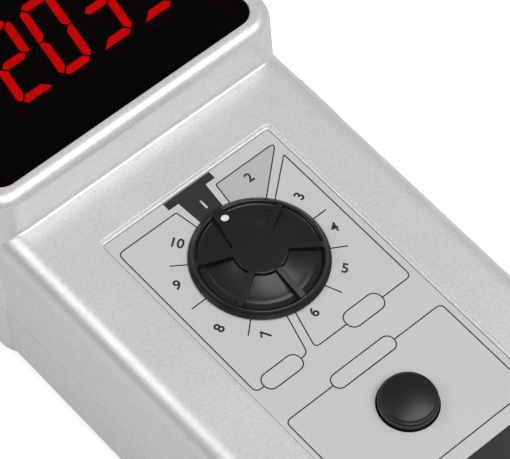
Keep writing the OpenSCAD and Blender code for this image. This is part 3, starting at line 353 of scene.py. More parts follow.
def makeFinish(name, values):
    finish = bpy.data.materials.new(name)
    finish.use_nodes = True
    tree = finish.node_tree
    shader = tree.nodes["Principled BSDF"]
    shader.inputs["Metallic"].default_value = values["metal"]
    shader.inputs["Coat Weight"].default_value = values.get("coat", 0)
    flakes = tree.nodes.new("ShaderNodeGroup")
    flakes.node_tree = speckle
    flakes.inputs["Color"].default_value = (*values["color"], 1)
    flakes.inputs["Amount"].default_value = values["specks"][0]
    flakes.inputs["Scale"].default_value = values["specks"][1]
    surface = tree.nodes.new("ShaderNodeGroup")
    surface.node_tree = grain
    surface.inputs["Scale"].default_value = values["grain"][1]
    surface.inputs["Roughness"].default_value = values["rough"]
    surface.inputs["Smudge"].default_value = values["rough"] * smudgeShare
    bump = tree.nodes.new("ShaderNodeBump")
    bump.inputs["Strength"].default_value = 1
    bump.inputs["Distance"].default_value = values["grain"][0] * mm
    tree.links.new(flakes.outputs["Color"], shader.inputs["Base Color"])
    tree.links.new(surface.outputs["Roughness"], shader.inputs["Roughness"])
    tree.links.new(surface.outputs["Height"], bump.inputs["Height"])
    tree.links.new(bump.outputs["Normal"], shader.inputs["Normal"])
    return finish


clearValues = {
    "window": dict(color=(0.13, 0.003, 0.003), rough=0.03, reflected=0.12),
    "lens_glass": dict(color=(0.93, 0.96, 1.0), rough=0.02, reflected=1.0),
}


def clearFinish(name, values):
    finish = makeFinish(name, dict(color=values["color"], rough=values["rough"], metal=0,
                                   specks=(0.03, 300), grain=(0.001, 400)))
    shader = finish.node_tree.nodes["Principled BSDF"]
    shader.inputs["Transmission Weight"].default_value = 1
    shader.inputs["IOR"].default_value = 1.45
    shader.inputs["Specular Tint"].default_value = (*[values["reflected"]] * 3, 1)
    return finish


litValues = dict(color=(0.30, 0.01, 0.01), rough=0.5, metal=0, specks=(0.02, 900), grain=(0.002, 900),
                 glow=(1, 0.0, 0.0, 1), strength=4.0)

finishes = {name: makeFinish(name, values) for name, values in finishValues.items()}
finishes.update((name, clearFinish(name, values)) for name, values in clearValues.items())
litFinish = makeFinish("lit_segment", litValues)
litShader = litFinish.node_tree.nodes["Principled BSDF"]
litShader.inputs["Emission Color"].default_value = litValues["glow"]
litShader.inputs["Emission Strength"].default_value = litValues["strength"]
print("finishes made:", len(finishes) + 1)

nodesOfSlot = {
    "case_paint": ["front_case", "rear_case", "battery_door"],
    "window": ["display_window"], "label": ["label_panel"],
    "black_plastic": ["selector_knob"], "button_plastic": ["memory_button", "measure_button"],
    "white_fill": ["knob_dot"],
    "steel": ["switch_shaft", "board_screws", "contact_shaft", "case_screws", "crystal"],
    "spring_steel": ["retaining_clip", "contact_plates", "contact_springs"],
    "switch_body": ["rotary_switch"], "brass": ["switch_terminals"],
    "plunger": ["memory_plunger", "measure_plunger"],
    "dark_plastic": ["memory_switch", "measure_switch", "board_header", "controller_chip",
                     "nose_housing", "slot_sensor", "optics_tube"],
    "board": ["main_board", "display_board", "optics_board"],
    "bronze": ["front_bush", "rear_bush"], "disc": ["encoder_disc"],
    "rubber": ["tip_ring", "contact_tip"], "aluminium": ["tip_hub"], "lens_glass": ["lens"],
    "lamp_red": ["light_source"], "lamp_dark": ["light_detector"],
    "digit": ["digit_%d" % i for i in range(1, 6)], "cell": ["battery_%d" % i for i in range(1, 5)],
}
slotOf = {nodeName: slotName for slotName, names in nodesOfSlot.items() for nodeName in names}
for nodeName, slotName in slotOf.items():
    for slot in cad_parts[nodeName].material_slots:
        slot.material = finishes[slotName]

# Case

caseValues = dict(headSide=1.0, gripEdge=4.5, headEdge=2.4, backEdge=5.5, tailCorner=12, headCorner=8,
                  lipCorner=6, wall=2.5, faceWall=3.4, windowBand=3.3, lean=1.2 / 8.4, gripHeight=36,
                  recess=(37.6, 79), recessGap=10.6, recessCorner=1.2, rim=0.6, rimDepth=0.3, depth=0.9,
                  fillet=0.19, rimFillet=0.26, crease=0.7, creaseStart=0.4, creaseRun=4, creaseSink=0.5,
                  creaseLift=0.02, tailFacing=0.2, edgeShare=0.98, lowRing=28, neckRing=39.5,
                  seam=(0.14, 0.12), lap=1.55, ledge=1.6, seat=0.1, windowCorner=3.5,
                  slot=(3.8, 8.3), slotEase=0.05,
                  knobHole=4, memoryHole=5.3, noseHole=(6.05, 5.8), over=1, cutter=200)


def backProfile(edge):
    # quarter round from the flat back up to the side wall: pairs of inset and height
    return list(arc((edge, edge), edge, 270, 180, 8))


def recessedPanel(width, tail, nose, corner, faceHeight, v):
    # rings from the face down into the stepped recess, each edge a small round
    shape = outline(width / 2, tail, nose, corner, corner)
    r, inner, rim, step, floor = (v[key] for key in ("fillet", "rimFillet", "rim", "rimDepth", "depth"))
    line = np.concatenate([arc((-r, -r), r, 90, 0, 5), arc((r / 2, -step + r / 2), r / 2, 180, 270, 3),
                           arc((rim - inner, -step - inner), inner, 90, 0, 5),
                           arc((rim + r / 2, -floor + r / 2), r / 2, 180, 270, 3)])
    return [ringAt(shape, inset, faceHeight + z) for inset, z in line]


def gripForm(v):
    # side walls with round edges, a seam notch, and the stepped recess in the face
    halfWidth = caseBox[1, 0] - v["headSide"]
    shape = outline(halfWidth, caseBox[0, 1], caseBox[1, 1] - v["headCorner"], v["tailCorner"],
                    v["headCorner"])
    depth, reach = v["seam"]
    edge = v["gripEdge"]
    line = backProfile(v["backEdge"])
    line += [(0, splitHeight - reach), (depth, splitHeight), (0, splitHeight + reach)]
    line += list(arc((edge, v["gripHeight"] - edge), edge, 180, 90, 10))
    rings = [ringAt(shape, inset, z) for inset, z in line]
    nose = lipLine - v["recessGap"]
    rings += recessedPanel(v["recess"][0], nose - v["recess"][1], nose, v["recessCorner"],
                           v["gripHeight"], v)
    return ringStack("grip", rings)


def headForm(v):
    # the same walls, but the tail side leans, and a hollow round fills the crease above the grip.
    # The hollow round: offset r (1 - sin a) outwards at height r (1 - cos a) over the grip's face
    halfWidth, top = caseBox[1, 0], caseBox[1, 2]
    shape = outline(halfWidth, lipLine, caseBox[1, 1], v["lipCorner"], v["headCorner"], 14, 12)
    normal, tailShare = shape[2:]
    high = top - v["headEdge"]
    gripHalf, edge, crease = halfWidth - v["headSide"], v["gripEdge"], v["crease"]

    def leaned(ring, height):
        drop = high - np.clip(height, v["backEdge"], high)
        ring[:, 1] -= v["lean"] * drop * tailShare
        return ring

    side = np.abs(ringAt(shape, 0, 0)[:, 0])
    over = np.clip(side - (gripHalf - edge), 0, edge * v["edgeShare"])
    surface = v["gripHeight"] - edge + np.sqrt(edge ** 2 - over ** 2)
    weight = smoothStep(gripHalf - v["creaseStart"] - side, 0, v["creaseRun"])
    weight *= normal[:, 1] < v["tailFacing"]

    depth, reach = v["seam"]
    line = backProfile(v["backEdge"])
    line += [(0, splitHeight - reach), (depth, splitHeight), (0, splitHeight + reach),
             (0, v["lowRing"])]
    rings = [leaned(ringAt(shape, inset, z), z) for inset, z in line]
    foot = surface - v["creaseSink"]
    rings.append(leaned(ringAt(shape, -crease * weight, foot), foot))
    for angle in np.radians(np.linspace(0, 90, 8)):
        height = surface + v["creaseLift"] + crease * (1 - np.cos(angle))
        rings.append(leaned(ringAt(shape, -crease * weight * (1 - np.sin(angle)), height), height))
    rings.append(leaned(ringAt(shape, 0, v["neckRing"]), v["neckRing"]))
    for inset, z in arc((v["headEdge"], high), v["headEdge"], 180, 90, 10):
        rings.append(leaned(ringAt(shape, inset, z), z))
    seat, r = v["seat"], v["fillet"]
    pocket = outline(windowBox[1, 0] + seat, windowBox[0, 1] - seat, windowBox[1, 1] + seat,
                     v["windowCorner"], v["windowCorner"], 14, 12)
    line = list(arc((-r, top - r), r, 90, 0, 4))
    line += [(0, windowBox[0, 2]), (v["ledge"], windowBox[0, 2]),
             (v["ledge"], top - v["faceWall"] - v["over"])]
    rings += [ringAt(pocket, inset, z) for inset, z in line]
    return ringStack("head", rings)


def hollowForms(v, low, lowLap):
    # the room inside the shells, and the wider step of the lap joint
    wall, nose = v["wall"], caseBox[1, 1]
    halfWidth = caseBox[1, 0]
    tools = []
    for inset, gripTop, headTop in ((wall, v["gripHeight"] - wall, caseBox[1, 2] - v["faceWall"]),
                                    (wall / 2, lowLap, lowLap)):
        grip = outline(halfWidth - v["headSide"] - inset, caseBox[0, 1] + inset, nose - v["headCorner"],
                       v["tailCorner"] - inset, v["headCorner"] - inset)
        head = outline(halfWidth - inset, lipLine + inset, nose - inset, v["lipCorner"] - inset,
                       v["headCorner"] - inset)
        tools.append(ringStack("roomGrip", [ringAt(grip, 0, low), ringAt(grip, 0, gripTop)]))
        tools.append(ringStack("roomHead", [ringAt(head, 0, low), ringAt(head, 0, headTop)]))
    return tools


def sideSlot(v):
    # a pill-shaped cutter through the side wall, its rings stacked along +X
    box = nodeBox("measure_button")
    middle = (box[0] + box[1]) / 2
    halfZ, halfY = v["slot"]
    corner = halfZ - v["slotEase"]
    shape = outline(halfZ, -halfY, halfY, corner, corner)
    side = caseBox[1, 0]
    rings = np.array([ringAt(shape, 0, x) for x in (side - 2 * v["wall"], side + v["over"])])
    rings = np.stack([rings[..., 2], rings[..., 1] + middle[1], middle[2] - rings[..., 0]], -1)
    return ringStack("slot", rings)


def frontShell(v):
    shell = gripForm(v)
    carve(shell, headForm(v), "UNION")
    far, over = v["cutter"], v["over"]
    carve(shell, blockMesh("below", (-far, -far, -far), (far, far, splitHeight)))
    for tool in hollowForms(v, splitHeight - over, splitHeight + v["lap"]):
        carve(shell, tool)
    for centre, radius in ((dialCentre, v["knobHole"]), (memoryCentre, v["memoryHole"])):
        low, high = v["gripHeight"] - v["wall"] - over, v["gripHeight"] + over
        carve(shell, turned("hole", [(radius, low), (radius, high)], (*centre, 0)))
    carve(shell, sideSlot(v))
    nose = caseBox[1, 1]
    for node, radius in (("nose_housing", v["noseHole"][0]), ("optics_tube", v["noseHole"][1])):
        box = nodeBox(node)
        centre = ((box[0, 0] + box[1, 0]) / 2, 0, splitHeight)
        profile = [(radius, nose - 2 * v["wall"]), (radius, nose + over)]
        carve(shell, turned("hole", profile, centre, axis="y"))
    return shell


lipLine = windowBox[0, 1] - caseValues["windowBand"]
front = frontShell(caseValues)
front.name = "front_shell"
front.data.materials.clear()
front.data.materials.append(finishes["case_paint"])
smoothMesh(front.data)
weightNormals(front)
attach(front, "case")
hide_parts("front_case")
print("case made:", len(front.data.polygons), "faces")

# Selector knob

knobValues = dict(foot=11.9, rim=11.1, footGap=0.25, beadTop=1.35, bead=0.3, hub=4.6, hubTop=3.0,
                  dome=0.12, hubEdge=0.22, scoopEnd=8.7, scoopLow=0.95, scoopTop=2.25, scoopPower=1.35,
                  discStart=0.3, scoopStart=0.12, channelLow=0.75,
                  channel=((9.03, 0.07), (9.15, 0.01), (9.3, 0), (9.7, 0), (10.0, 0), (10.2, 0.01),
                           (10.3, 0.08), (10.4, 0.19)),
                  skirtStart=(0.02, 0.05), skirt=((11.4, 0.75), (11.75, 0.42)), footEdge=(0.02, 0.06),
                  ribs=6, ribHalf=0.55, ribEnd=10.8,
                  ribTop=(2.88, 1.6), wall=0.12, rootAngle=38, rootShare=1.08, pointerHalf=1.5,
                  dotRing=8.75, pointerEnd=11.02, pointerEndHalf=0.95, ribCore=2.2, ribRound=0.14,
                  dot=0.76, dotDome=0.05, dotSink=0.02, dotDepth=0.25)


def knobProfile(v):
    # radius and height over the label: domed hub, scooped floor, channel, bead and leaning skirt.
    # The channel's heights count from its floor
    hub, edge, bead = v["hub"], v["hubEdge"], v["bead"]
    inner = np.linspace(v["discStart"], hub - edge, 9)[:-1]
    disc = np.c_[inner, v["hubTop"] - v["dome"] * (inner / hub) ** 2]
    rim = arc((hub - edge, v["hubTop"] - v["dome"] - edge), edge, 90, 12, 5)
    radius = np.linspace(hub + v["scoopStart"], v["scoopEnd"], 18)
    share = (v["scoopEnd"] - radius) / (v["scoopEnd"] - hub)
    scoop = np.c_[radius, v["scoopLow"] + (v["scoopTop"] - v["scoopLow"]) * share ** v["scoopPower"]]
    channel = np.array(v["channel"]) + (0, v["channelLow"])
    high = v["beadTop"]
    top = arc((v["rim"] - bead, high - bead), bead, 180, 10, 9)
    small, large = v["footEdge"]
    skirt = np.array([(v["rim"] + v["skirtStart"][0], high - bead - v["skirtStart"][1]), *v["skirt"],
                      (v["foot"] - small, v["footGap"] + large), (v["foot"] - large, v["footGap"])])
    return np.concatenate([disc, rim, scoop, channel, top, skirt])[::-1]


def knob(v):
    # the profile is turned round, and each rib lifts it: z = base + mask * (rib height - base).
    # Columns follow the ribs' edges: angle = rib + a * half width + b * wall + c * free space
    profile = knobProfile(v)
    radius, base = profile[:, 0], profile[:, 1]
    root = np.radians(v["rootAngle"])
    rootPoint = v["hub"] * v["rootShare"] * np.array([np.sin(root), np.cos(root)])
    path = np.array([rootPoint, [v["pointerHalf"], v["dotRing"]], [v["pointerEndHalf"], v["pointerEnd"]]])
    along = np.concatenate([path[0] + np.linspace(0, 1, 60)[:, None] * (path[1] - path[0]),
                            path[1] + np.linspace(0, 1, 30)[1:, None] * (path[2] - path[1])])
    pointerHalf = np.interp(radius, np.hypot(*along.T), np.arctan2(*along.T))
    ribHalf = np.arcsin(v["ribHalf"] / np.maximum(radius, v["ribCore"]))
    wall = v["wall"] / np.maximum(radius, v["ribCore"])
    half = np.stack([pointerHalf] + [ribHalf] * (v["ribs"] - 1), 1)
    middle = np.radians(90 - np.arange(v["ribs"]) * 360 / v["ribs"])[::-1]
    half = half[:, ::-1]
    outer = half + wall[:, None]
    spacing = 2 * np.pi / v["ribs"]
    free = (spacing - outer - np.roll(outer, -1, 1)) / 2
    back = np.roll(free, 1, 1)
    topShare = np.linspace(0, 1, 6)[1:]
    wallShare = np.linspace(0, 1, 6)[1:]
    floorShare = np.linspace(0, 1, 13)[1:]
    count = (len(topShare), len(wallShare), len(floorShare))
    a = np.r_[topShare, np.ones(count[1] + count[2])]
    b = np.r_[np.zeros(count[0]), wallShare, np.ones(count[2])]
    c = np.r_[np.zeros(count[0] + count[1]), floorShare]
    mask = np.r_[np.ones(count[0]), 1 - smoothStep(wallShare, 0, 1), np.zeros(count[2])]
    a = np.r_[-a[:-1][::-1], 0, a]
    b = np.r_[-b[:-1][::-1], 0, b]
    c = np.r_[-c[:-1][::-1], 0, c]
    mask = np.r_[mask[:-1][::-1], 1, mask]
    room = np.where(c[None, None] < 0, back[..., None], free[..., None])
    angle = (middle[None, :, None] + a * half[..., None] + b * wall[:, None, None] + c * room)
    reach = np.full(v["ribs"], v["ribEnd"])
    reach[-1] = v["pointerEnd"]
    radial = 1 - smoothStep(radius[:, None], reach - v["ribRound"], reach)
    ribHeight = np.interp(radius, [v["hub"], v["ribEnd"]], v["ribTop"])
    lift = np.maximum(ribHeight - base, 0)[:, None, None] * radial[..., None] * mask
    height = labelTop + base[:, None, None] + lift
    ring = radius[:, None, None]
    points = np.stack([ring * np.cos(angle), ring * np.sin(angle), height], -1)
    points = points.reshape(len(radius), -1, 3) + np.array([*dialCentre, 0])
    return ringStack("knob_moulding", points, "knob", finishes["black_plastic"], sharpAngle=40)


knobPiece = knob(knobValues)
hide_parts("selector_knob")


def paintDot(v):
    # a disc of paint that follows the pointer's slope, a little domed: z = level + dome (1 - (r / R)^4)
    share = np.sqrt(np.linspace(1, 0.02, 7))
    level = np.interp(v["dotRing"], [v["hub"], v["ribEnd"]], v["ribTop"])
    rise = v["dotDome"] * (1 - share ** 4)
    slope = (v["ribTop"][1] - v["ribTop"][0]) / (v["ribEnd"] - v["hub"])
    angle = np.linspace(0, 2 * np.pi, 40, endpoint=False)
    radius = v["dot"] * share[:, None]
    ring = np.stack([radius * np.cos(angle), radius * np.sin(angle)], -1)
    height = labelTop + level + slope * ring[..., 1] + rise[:, None] - v["dotSink"]
    points = np.concatenate([ring + dialCentre + np.array([0, v["dotRing"]]), height[..., None]], -1)
    low = points[:1].copy()
    low[..., 2] -= v["dotDepth"]
    return ringStack("dot_paint", np.concatenate([low, points]), "knob", finishes["white_fill"],
                     sharpAngle=40)


dotPiece = paintDot(knobValues)
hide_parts("knob_dot")
print("knob made:", len(knobPiece.data.polygons), "faces")

# Buttons

memoryValues = dict(skirt=5.0, skirtTop=1.72, waist=4.45, crown=4.68, crownLow=1.82, domeEdge=4.4,
                    domeLow=2.25, top=3.0, flange=6.2, flangeThick=1.0, edge=0.5, ease=0.03,
                    lowEdge=0.12, shoulder=0.3, shoulderDrop=0.25, shoulderTurn=68)


def memoryCap(v):
    # skirt, narrow waist and a domed crown: dome z = top - R (1 - cos a)
    low = memoryBox[0, 2] - labelTop
    edge, ease, lowEdge, shoulder = (v[key] for key in ("edge", "ease", "lowEdge", "shoulder"))
    rise = v["top"] - v["domeLow"]
    ball = (v["domeEdge"] ** 2 + rise ** 2) / (2 * rise)
    angle = np.linspace(math.asin(v["domeEdge"] / ball), 0.01, 16)
    dome = np.c_[ball * np.sin(angle), v["top"] - ball * (1 - np.cos(angle))]
    profile = np.concatenate([
        [[v["flange"], low], [v["flange"], low + v["flangeThick"]], [v["skirt"], low + v["flangeThick"]]],
        arc((v["skirt"] - edge, v["skirtTop"] - edge), edge, 0, 90, 6),
        [[v["waist"] + ease, v["skirtTop"]], [v["waist"], v["skirtTop"] + ease],
         [v["waist"], v["crownLow"] - ease], [v["waist"] + ease, v["crownLow"]]],
        arc((v["crown"] - lowEdge, v["crownLow"] + lowEdge), lowEdge, -90, 0, 4),
        arc((v["crown"] - shoulder, v["domeLow"] - v["shoulderDrop"]), shoulder, 0, v["shoulderTurn"], 6),
        dome])
    profile[:, 1] += labelTop
    return turned("memory_cap", profile, (*memoryCentre, 0), "memory", finishes["button_plastic"],
                  steps=128, sharpAngle=35)


memoryPiece = memoryCap(memoryValues)
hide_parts("memory_button")

measureValues = dict(edge=0.45, flangeThick=1.0, flange=1.2, stem=2.0, stemLength=2.9, step=0.001,
                     ease=dict(pill=0.05, wide=0.06, stem=0.01))


def measureCap(v):
    # a pill with rounded edge, then its flange and stem, stacked along +X
    box = nodeBox("measure_button")
    middle = (box[0, 1:] + box[1, 1:]) / 2
    halfZ, halfY = (box[1, 1:] - box[0, 1:])[::-1] / 2

    def pillOutline(name, across, along):
        # its corner radius falls short of the half width by the shape's ease
        corner = across - v["ease"][name]
        return outline(across, -along, along, corner, corner)

    pill = pillOutline("pill", halfZ - v["flange"], halfY - v["flange"])
    wide = pillOutline("wide", halfZ, halfY)
    stem = pillOutline("stem", v["stem"], v["stem"])
    low = box[0, 0] + v["stemLength"]
    rings = [ringAt(stem, 0, box[0, 0]), ringAt(stem, 0, low), ringAt(wide, 0, low + v["step"]),
             ringAt(wide, 0, low + v["flangeThick"]),
             ringAt(pill, 0, low + v["flangeThick"] + v["step"])]
    rings += [ringAt(pill, v["edge"] - x, box[1, 0] - v["edge"] + z)
              for x, z in arc((0, 0), v["edge"], 0, 90, 6)]
    rings = np.array(rings)
    turnedRings = np.stack([rings[..., 2], rings[..., 1] + middle[0], middle[1] - rings[..., 0]], -1)
    return ringStack("measure_cap", turnedRings, "measure", finishes["button_plastic"],
                     sharpAngle=35)


measurePiece = measureCap(measureValues)
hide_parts("measure_button")
print("buttons made")

# Turned and moulded parts of the frame: a copy with its doubles merged and its shading smoothed

smoothParts = {
    "case": ["rear_case", "nose_housing", "front_bush", "rear_bush", "optics_tube", "lens", "case_screws",
             "battery_1", "battery_2", "battery_3", "battery_4", "contact_plates", "contact_springs"],
    "spindle": ["contact_shaft", "tip_ring"], "tip": ["tip_hub", "contact_tip"], "door": ["battery_door"]}


def smoothCopy(nodeName, body):
    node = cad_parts[nodeName]
    mesh = node.data
    points = np.empty(len(mesh.vertices) * 3)
    mesh.vertices.foreach_get("co", points)
    toWorld = np.array(node.matrix_world)
    points = points.reshape(-1, 3) @ toWorld[:3, :3].T + toWorld[:3, 3]
    corners = np.empty(len(mesh.loops), dtype=int)
    mesh.loops.foreach_get("vertex_index", corners)
    merged, number = np.unique(np.round(points, 7), axis=0, return_inverse=True)
    faces = number.ravel()[corners].reshape(-1, 3)
    whole = (faces[:, 0] != faces[:, 1]) & (faces[:, 1] != faces[:, 2]) & (faces[:, 2] != faces[:, 0])
    slot = node.material_slots[0]
    piece = addMesh(nodeName + "_form", merged * 1000, faces[whole].tolist(), body, slot.material,
                    sharpAngle=32)
    weightNormals(piece)
    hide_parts(nodeName)


for body, nodeNames in smoothParts.items():
    for nodeName in nodeNames:
        smoothCopy(nodeName, body)
print("frame parts smoothed")

# Panel print: places in millimetres from the dial's centre, raised a little from the label

printValues = dict(line=0.22, lift=0.001, rise=0.02, pillRise=0.01, pillLineRise=0.02, areaDrop=0.008,
                   numberRise=0.012, numberThick=0.03, left=-17.18, right=16.82, top=15.67, bottom=-18.52,
                   memoryTop=-25.63, memoryBottom=-46.43, corner=1.1, slantCorner=0.3, pillShare=0.46,
                   leftEnds=((-3.7, 10.4), (-3.75, -10.6)), leftStops=(-4.58, -6.02),
                   rightEnds=((9.1, 6.6), (-2.25, -11.0)), rightStops=(12.85, -4.38),
                   areaEnds=((3.4, 10.5), (8.1, 7.65)), areaStops=(4.08, 17.43),
                   areaCorners=(0, 0.35, 1.7, 0),
                   ticks=(89.6, 120.5, 156.3, 228.7, 269.7, 304.7), tickRun=(11.4, 14.85),
                   pills=((-15.4, -7.5, -20.0, -16.8), (2.5, 10.35, -20.1, -16.7),
                          (-6.9, 6.4, -27.0, -24.1)),
                   darkBlock=((-2.75, 10.6), (2.15, 10.9), (2.83, 16.8), (4.9, 16.8), (4.9, 18.35),
                              (-5.2, 18.35), (-5.2, 16.8), (-3.15, 16.8)),
                   bar=(-15.6, 16.82, -54.6, -49.2))
inkLow, inkHigh = labelTop + printValues["lift"], labelTop + printValues["rise"]


def joined(parts):
    points, faces, first = [], [], 0
    for partPoints, partFaces in parts:
        points.append(np.asarray(partPoints, dtype=float))
        faces += [[number + first for number in face] for face in partFaces]
        first += len(partPoints)
    return np.concatenate(points), faces


def slab(flat, low, high):
    # a flat outline, turning left, between two heights
    flat = np.asarray(flat, dtype=float) + dialCentre
    count = len(flat)
    points = np.concatenate([np.c_[flat, np.full(count, low)], np.c_[flat, np.full(count, high)]])
    step = np.arange(count)
    sides = np.stack([step, np.roll(step, -1), np.roll(step, -1) + count, step + count], -1).tolist()
    return points, sides + [step[::-1].tolist(), (step + count).tolist()]


def ribbon(path, width, low, high, closed=False):
    # a line of constant width: each point moves sideways by half the width over cos(half the turn)
    path = np.asarray(path, dtype=float) + dialCentre
    ahead = np.roll(path, -1, 0) - path
    behind = path - np.roll(path, 1, 0)
    if not closed:
        ahead[-1], behind[0] = behind[-1], ahead[0]
    ahead /= np.linalg.norm(ahead, axis=1)[:, None]
    behind /= np.linalg.norm(behind, axis=1)[:, None]
    middle = ahead + behind
    middle /= np.linalg.norm(middle, axis=1)[:, None]
    sideways = np.c_[-middle[:, 1], middle[:, 0]] / np.sum(middle * ahead, 1)[:, None] * width / 2
    left, right = path + sideways, path - sideways
    count = len(path)
    ring = np.stack([np.c_[left, np.full(count, low)], np.c_[right, np.full(count, low)],
                     np.c_[right, np.full(count, high)], np.c_[left, np.full(count, high)]], 1)
    number = np.arange(count * 4).reshape(count, 4)
    start, end = (number, np.roll(number, -1, 0)) if closed else (number[:-1], number[1:])
    faces = np.stack([start, np.roll(start, -1, 1), np.roll(end, -1, 1), end], -1).reshape(-1, 4)
    faces = faces[:, ::-1].tolist()
    if not closed:
        faces += [number[0].tolist(), number[-1][::-1].tolist()]
    return ring.reshape(-1, 3), faces


def rounded(corners, radii, closed=False, steps=6):
    # each corner becomes a curve: (1 - s)^2 A + 2 s (1 - s) C + s^2 B, from A before it to B after it
    corners = np.asarray(corners, dtype=float)
    radii = np.broadcast_to(radii, len(corners))
    share = np.linspace(0, 1, steps + 1)[:, None]
    pieces = []
    for i, corner in enumerate(corners):
        if not closed and i in (0, len(corners) - 1):
            pieces.append(corner[None])
            continue
        before, after = corners[i - 1], corners[(i + 1) % len(corners)]
        start = corner + (before - corner) / np.linalg.norm(before - corner) * radii[i]
        end = corner + (after - corner) / np.linalg.norm(after - corner) * radii[i]
        pieces.append((1 - share) ** 2 * start + 2 * share * (1 - share) * corner + share ** 2 * end)
    return np.concatenate(pieces)


def rectangle(x0, x1, y0, y1):
    return [(x0, y0), (x1, y0), (x1, y1), (x0, y1)]


def panelLines(v):
    # two open frames round the dial, the contact area's frame, the memory frame, the ticks and the pills
    left, right, top, bottom, corner = (v[key] for key in ("left", "right", "top", "bottom", "corner"))
    slant = v["slantCorner"]
    (start, end), (topStop, bottomStop) = v["leftEnds"], v["leftStops"]
    leftFrame = [start, (topStop, top), (left, top), (left, bottom), (bottomStop, bottom), end]
    (start, end), (sideStop, bottomStop) = v["rightEnds"], v["rightStops"]
    rightFrame = [start, (right, sideStop), (right, bottom), (bottomStop, bottom), end]
    paths = [rounded(leftFrame, (0, slant, corner, corner, corner, 0)),
             rounded(rightFrame, (0, slant, corner, corner, 0)), contactPath(v)]
    parts = [ribbon(path, v["line"], inkLow, inkHigh) for path in paths]
    memoryFrame = rectangle(left, right, v["memoryBottom"], v["memoryTop"])
    parts.append(ribbon(rounded(memoryFrame, corner, True), v["line"], inkLow, inkHigh, True))
    for angle in np.radians(v["ticks"]):
        way = np.array([np.sin(angle), np.cos(angle)])
        parts.append(ribbon([way * v["tickRun"][0], way * v["tickRun"][1]], v["line"], inkLow, inkHigh))
    for pill in v["pills"]:
        parts.append(ribbon(pillPath(*pill), v["line"], inkLow, inkHigh + v["pillLineRise"], True))
    return parts


def contactPath(v):
    (start, end), (leftStop, rightStop) = v["areaEnds"], v["areaStops"]
    corners = [start, (leftStop, v["top"]), (rightStop, v["top"]), end]
    return rounded(corners, v["areaCorners"], steps=10)


def pillPath(x0, x1, y0, y1):
    corner = (y1 - y0) * printValues["pillShare"]
    shape = outline((x1 - x0) / 2, y0, y1, corner, corner, 8, 3)
    return ringAt(shape, 0, 0)[:, :2] + np.array([(x0 + x1) / 2, 0])


def printLayer(name, parts, finish):
    points, faces = joined(parts)
    piece = addMesh(name, points, faces, "case", finish)
    return piece


def printPanel(v):
    pillHigh, areaHigh = inkHigh + v["pillRise"], inkHigh - v["areaDrop"]
    printLayer("panel_lines", panelLines(v), finishes["ink"])
    printLayer("panel_pills", [slab(pillPath(*pill), inkLow, pillHigh) for pill in v["pills"]],
               finishes["label"])
    printLayer("panel_contact_area", [slab(contactPath(v)[::-1], inkLow, areaHigh)], finishes["contact_area"])
    printLayer("panel_bars", [slab(v["darkBlock"], inkLow, inkHigh),
                              slab(rectangle(*v["bar"]), inkLow, inkHigh)], finishes["ink"])


printPanel(printValues)

numberValues = dict(size=2.55, weight=0.055, weld=1e-6, places=(
    ("1", 0.0, 14.0, 0, "light_ink"), ("2", 9.3, 13.2, 0, "ink"), ("3", 13.19, 4.98, 21, "ink"),
    ("4", 13.52, -3.33, -14, "ink"), ("5", 9.51, -10.43, -48, "ink"), ("6", -0.03, -13.39, 10, "ink"),
    ("7", -8.75, -11.44, 53, "ink"), ("8", -13.81, -5.66, 22, "ink"), ("9", -13.66, 4.94, -20, "ink"),
    ("10", -8.23, 10.99, -53, "ink")))


def numberPart(words, x, y, turn, v):
    # a figure from the built-in typeface, made a mesh, then turned and moved in its points
    curve = bpy.data.curves.new("figure", "FONT")
    curve.body = words
    curve.size = v["size"]
    curve.align_x, curve.align_y = "CENTER", "CENTER"
    curve.offset = v["weight"]
    holder = newObject("figure", curve)
    bpy.context.view_layer.update()
    mesh = bpy.data.meshes.new_from_object(holder.evaluated_get(bpy.context.evaluated_depsgraph_get()))
    flat = np.empty(len(mesh.vertices) * 3)
    mesh.vertices.foreach_get("co", flat)
    flat = flat.reshape(-1, 3)[:, :2]
    faces = [list(face.vertices) for face in mesh.polygons]
    bpy.data.objects.remove(holder)
    bpy.data.curves.remove(curve)
    bpy.data.meshes.remove(mesh)
    flat = flat - (flat.min(0) + flat.max(0)) / 2
    angle = math.radians(turn)
    spin = np.array([[math.cos(angle), math.sin(angle)], [-math.sin(angle), math.cos(angle)]])
    flat = flat @ spin + np.array([x, y]) + dialCentre
    return np.c_[flat, np.full(len(flat), inkHigh + printValues["numberRise"])], faces


def numbers(v, finishName):
    parts = [numberPart(words, x, y, turn, v) for words, x, y, turn, ink in v["places"]
             if ink == finishName]
    piece = printLayer("panel_numbers_" + finishName, parts, finishes[finishName])
    merge = piece.modifiers.new("weld", "WELD")
    merge.merge_threshold = v["weld"]
    thick = piece.modifiers.new("thick", "SOLIDIFY")
    thick.thickness = printValues["numberThick"] * mm
    thick.offset = -1


numbers(numberValues, "ink")
numbers(numberValues, "light_ink")
print("panel print made")

# Lit figures: flat segments with mitred ends, leaned like the modules

figureValues = dict(width=7.0, height=16.2, segment=1.55, lean=10, gap=0.26, lift=0.005, rise=0.04,
                    nick=1.25, noNick=0.02, shift=(0.65, -0.15), shown={2: "2", 3: "0", 4: "3", 5: "5"})
segmentsOf = {"2": "abdeg", "0": "abcdef", "3": "abcdg", "5": "acdfg"}


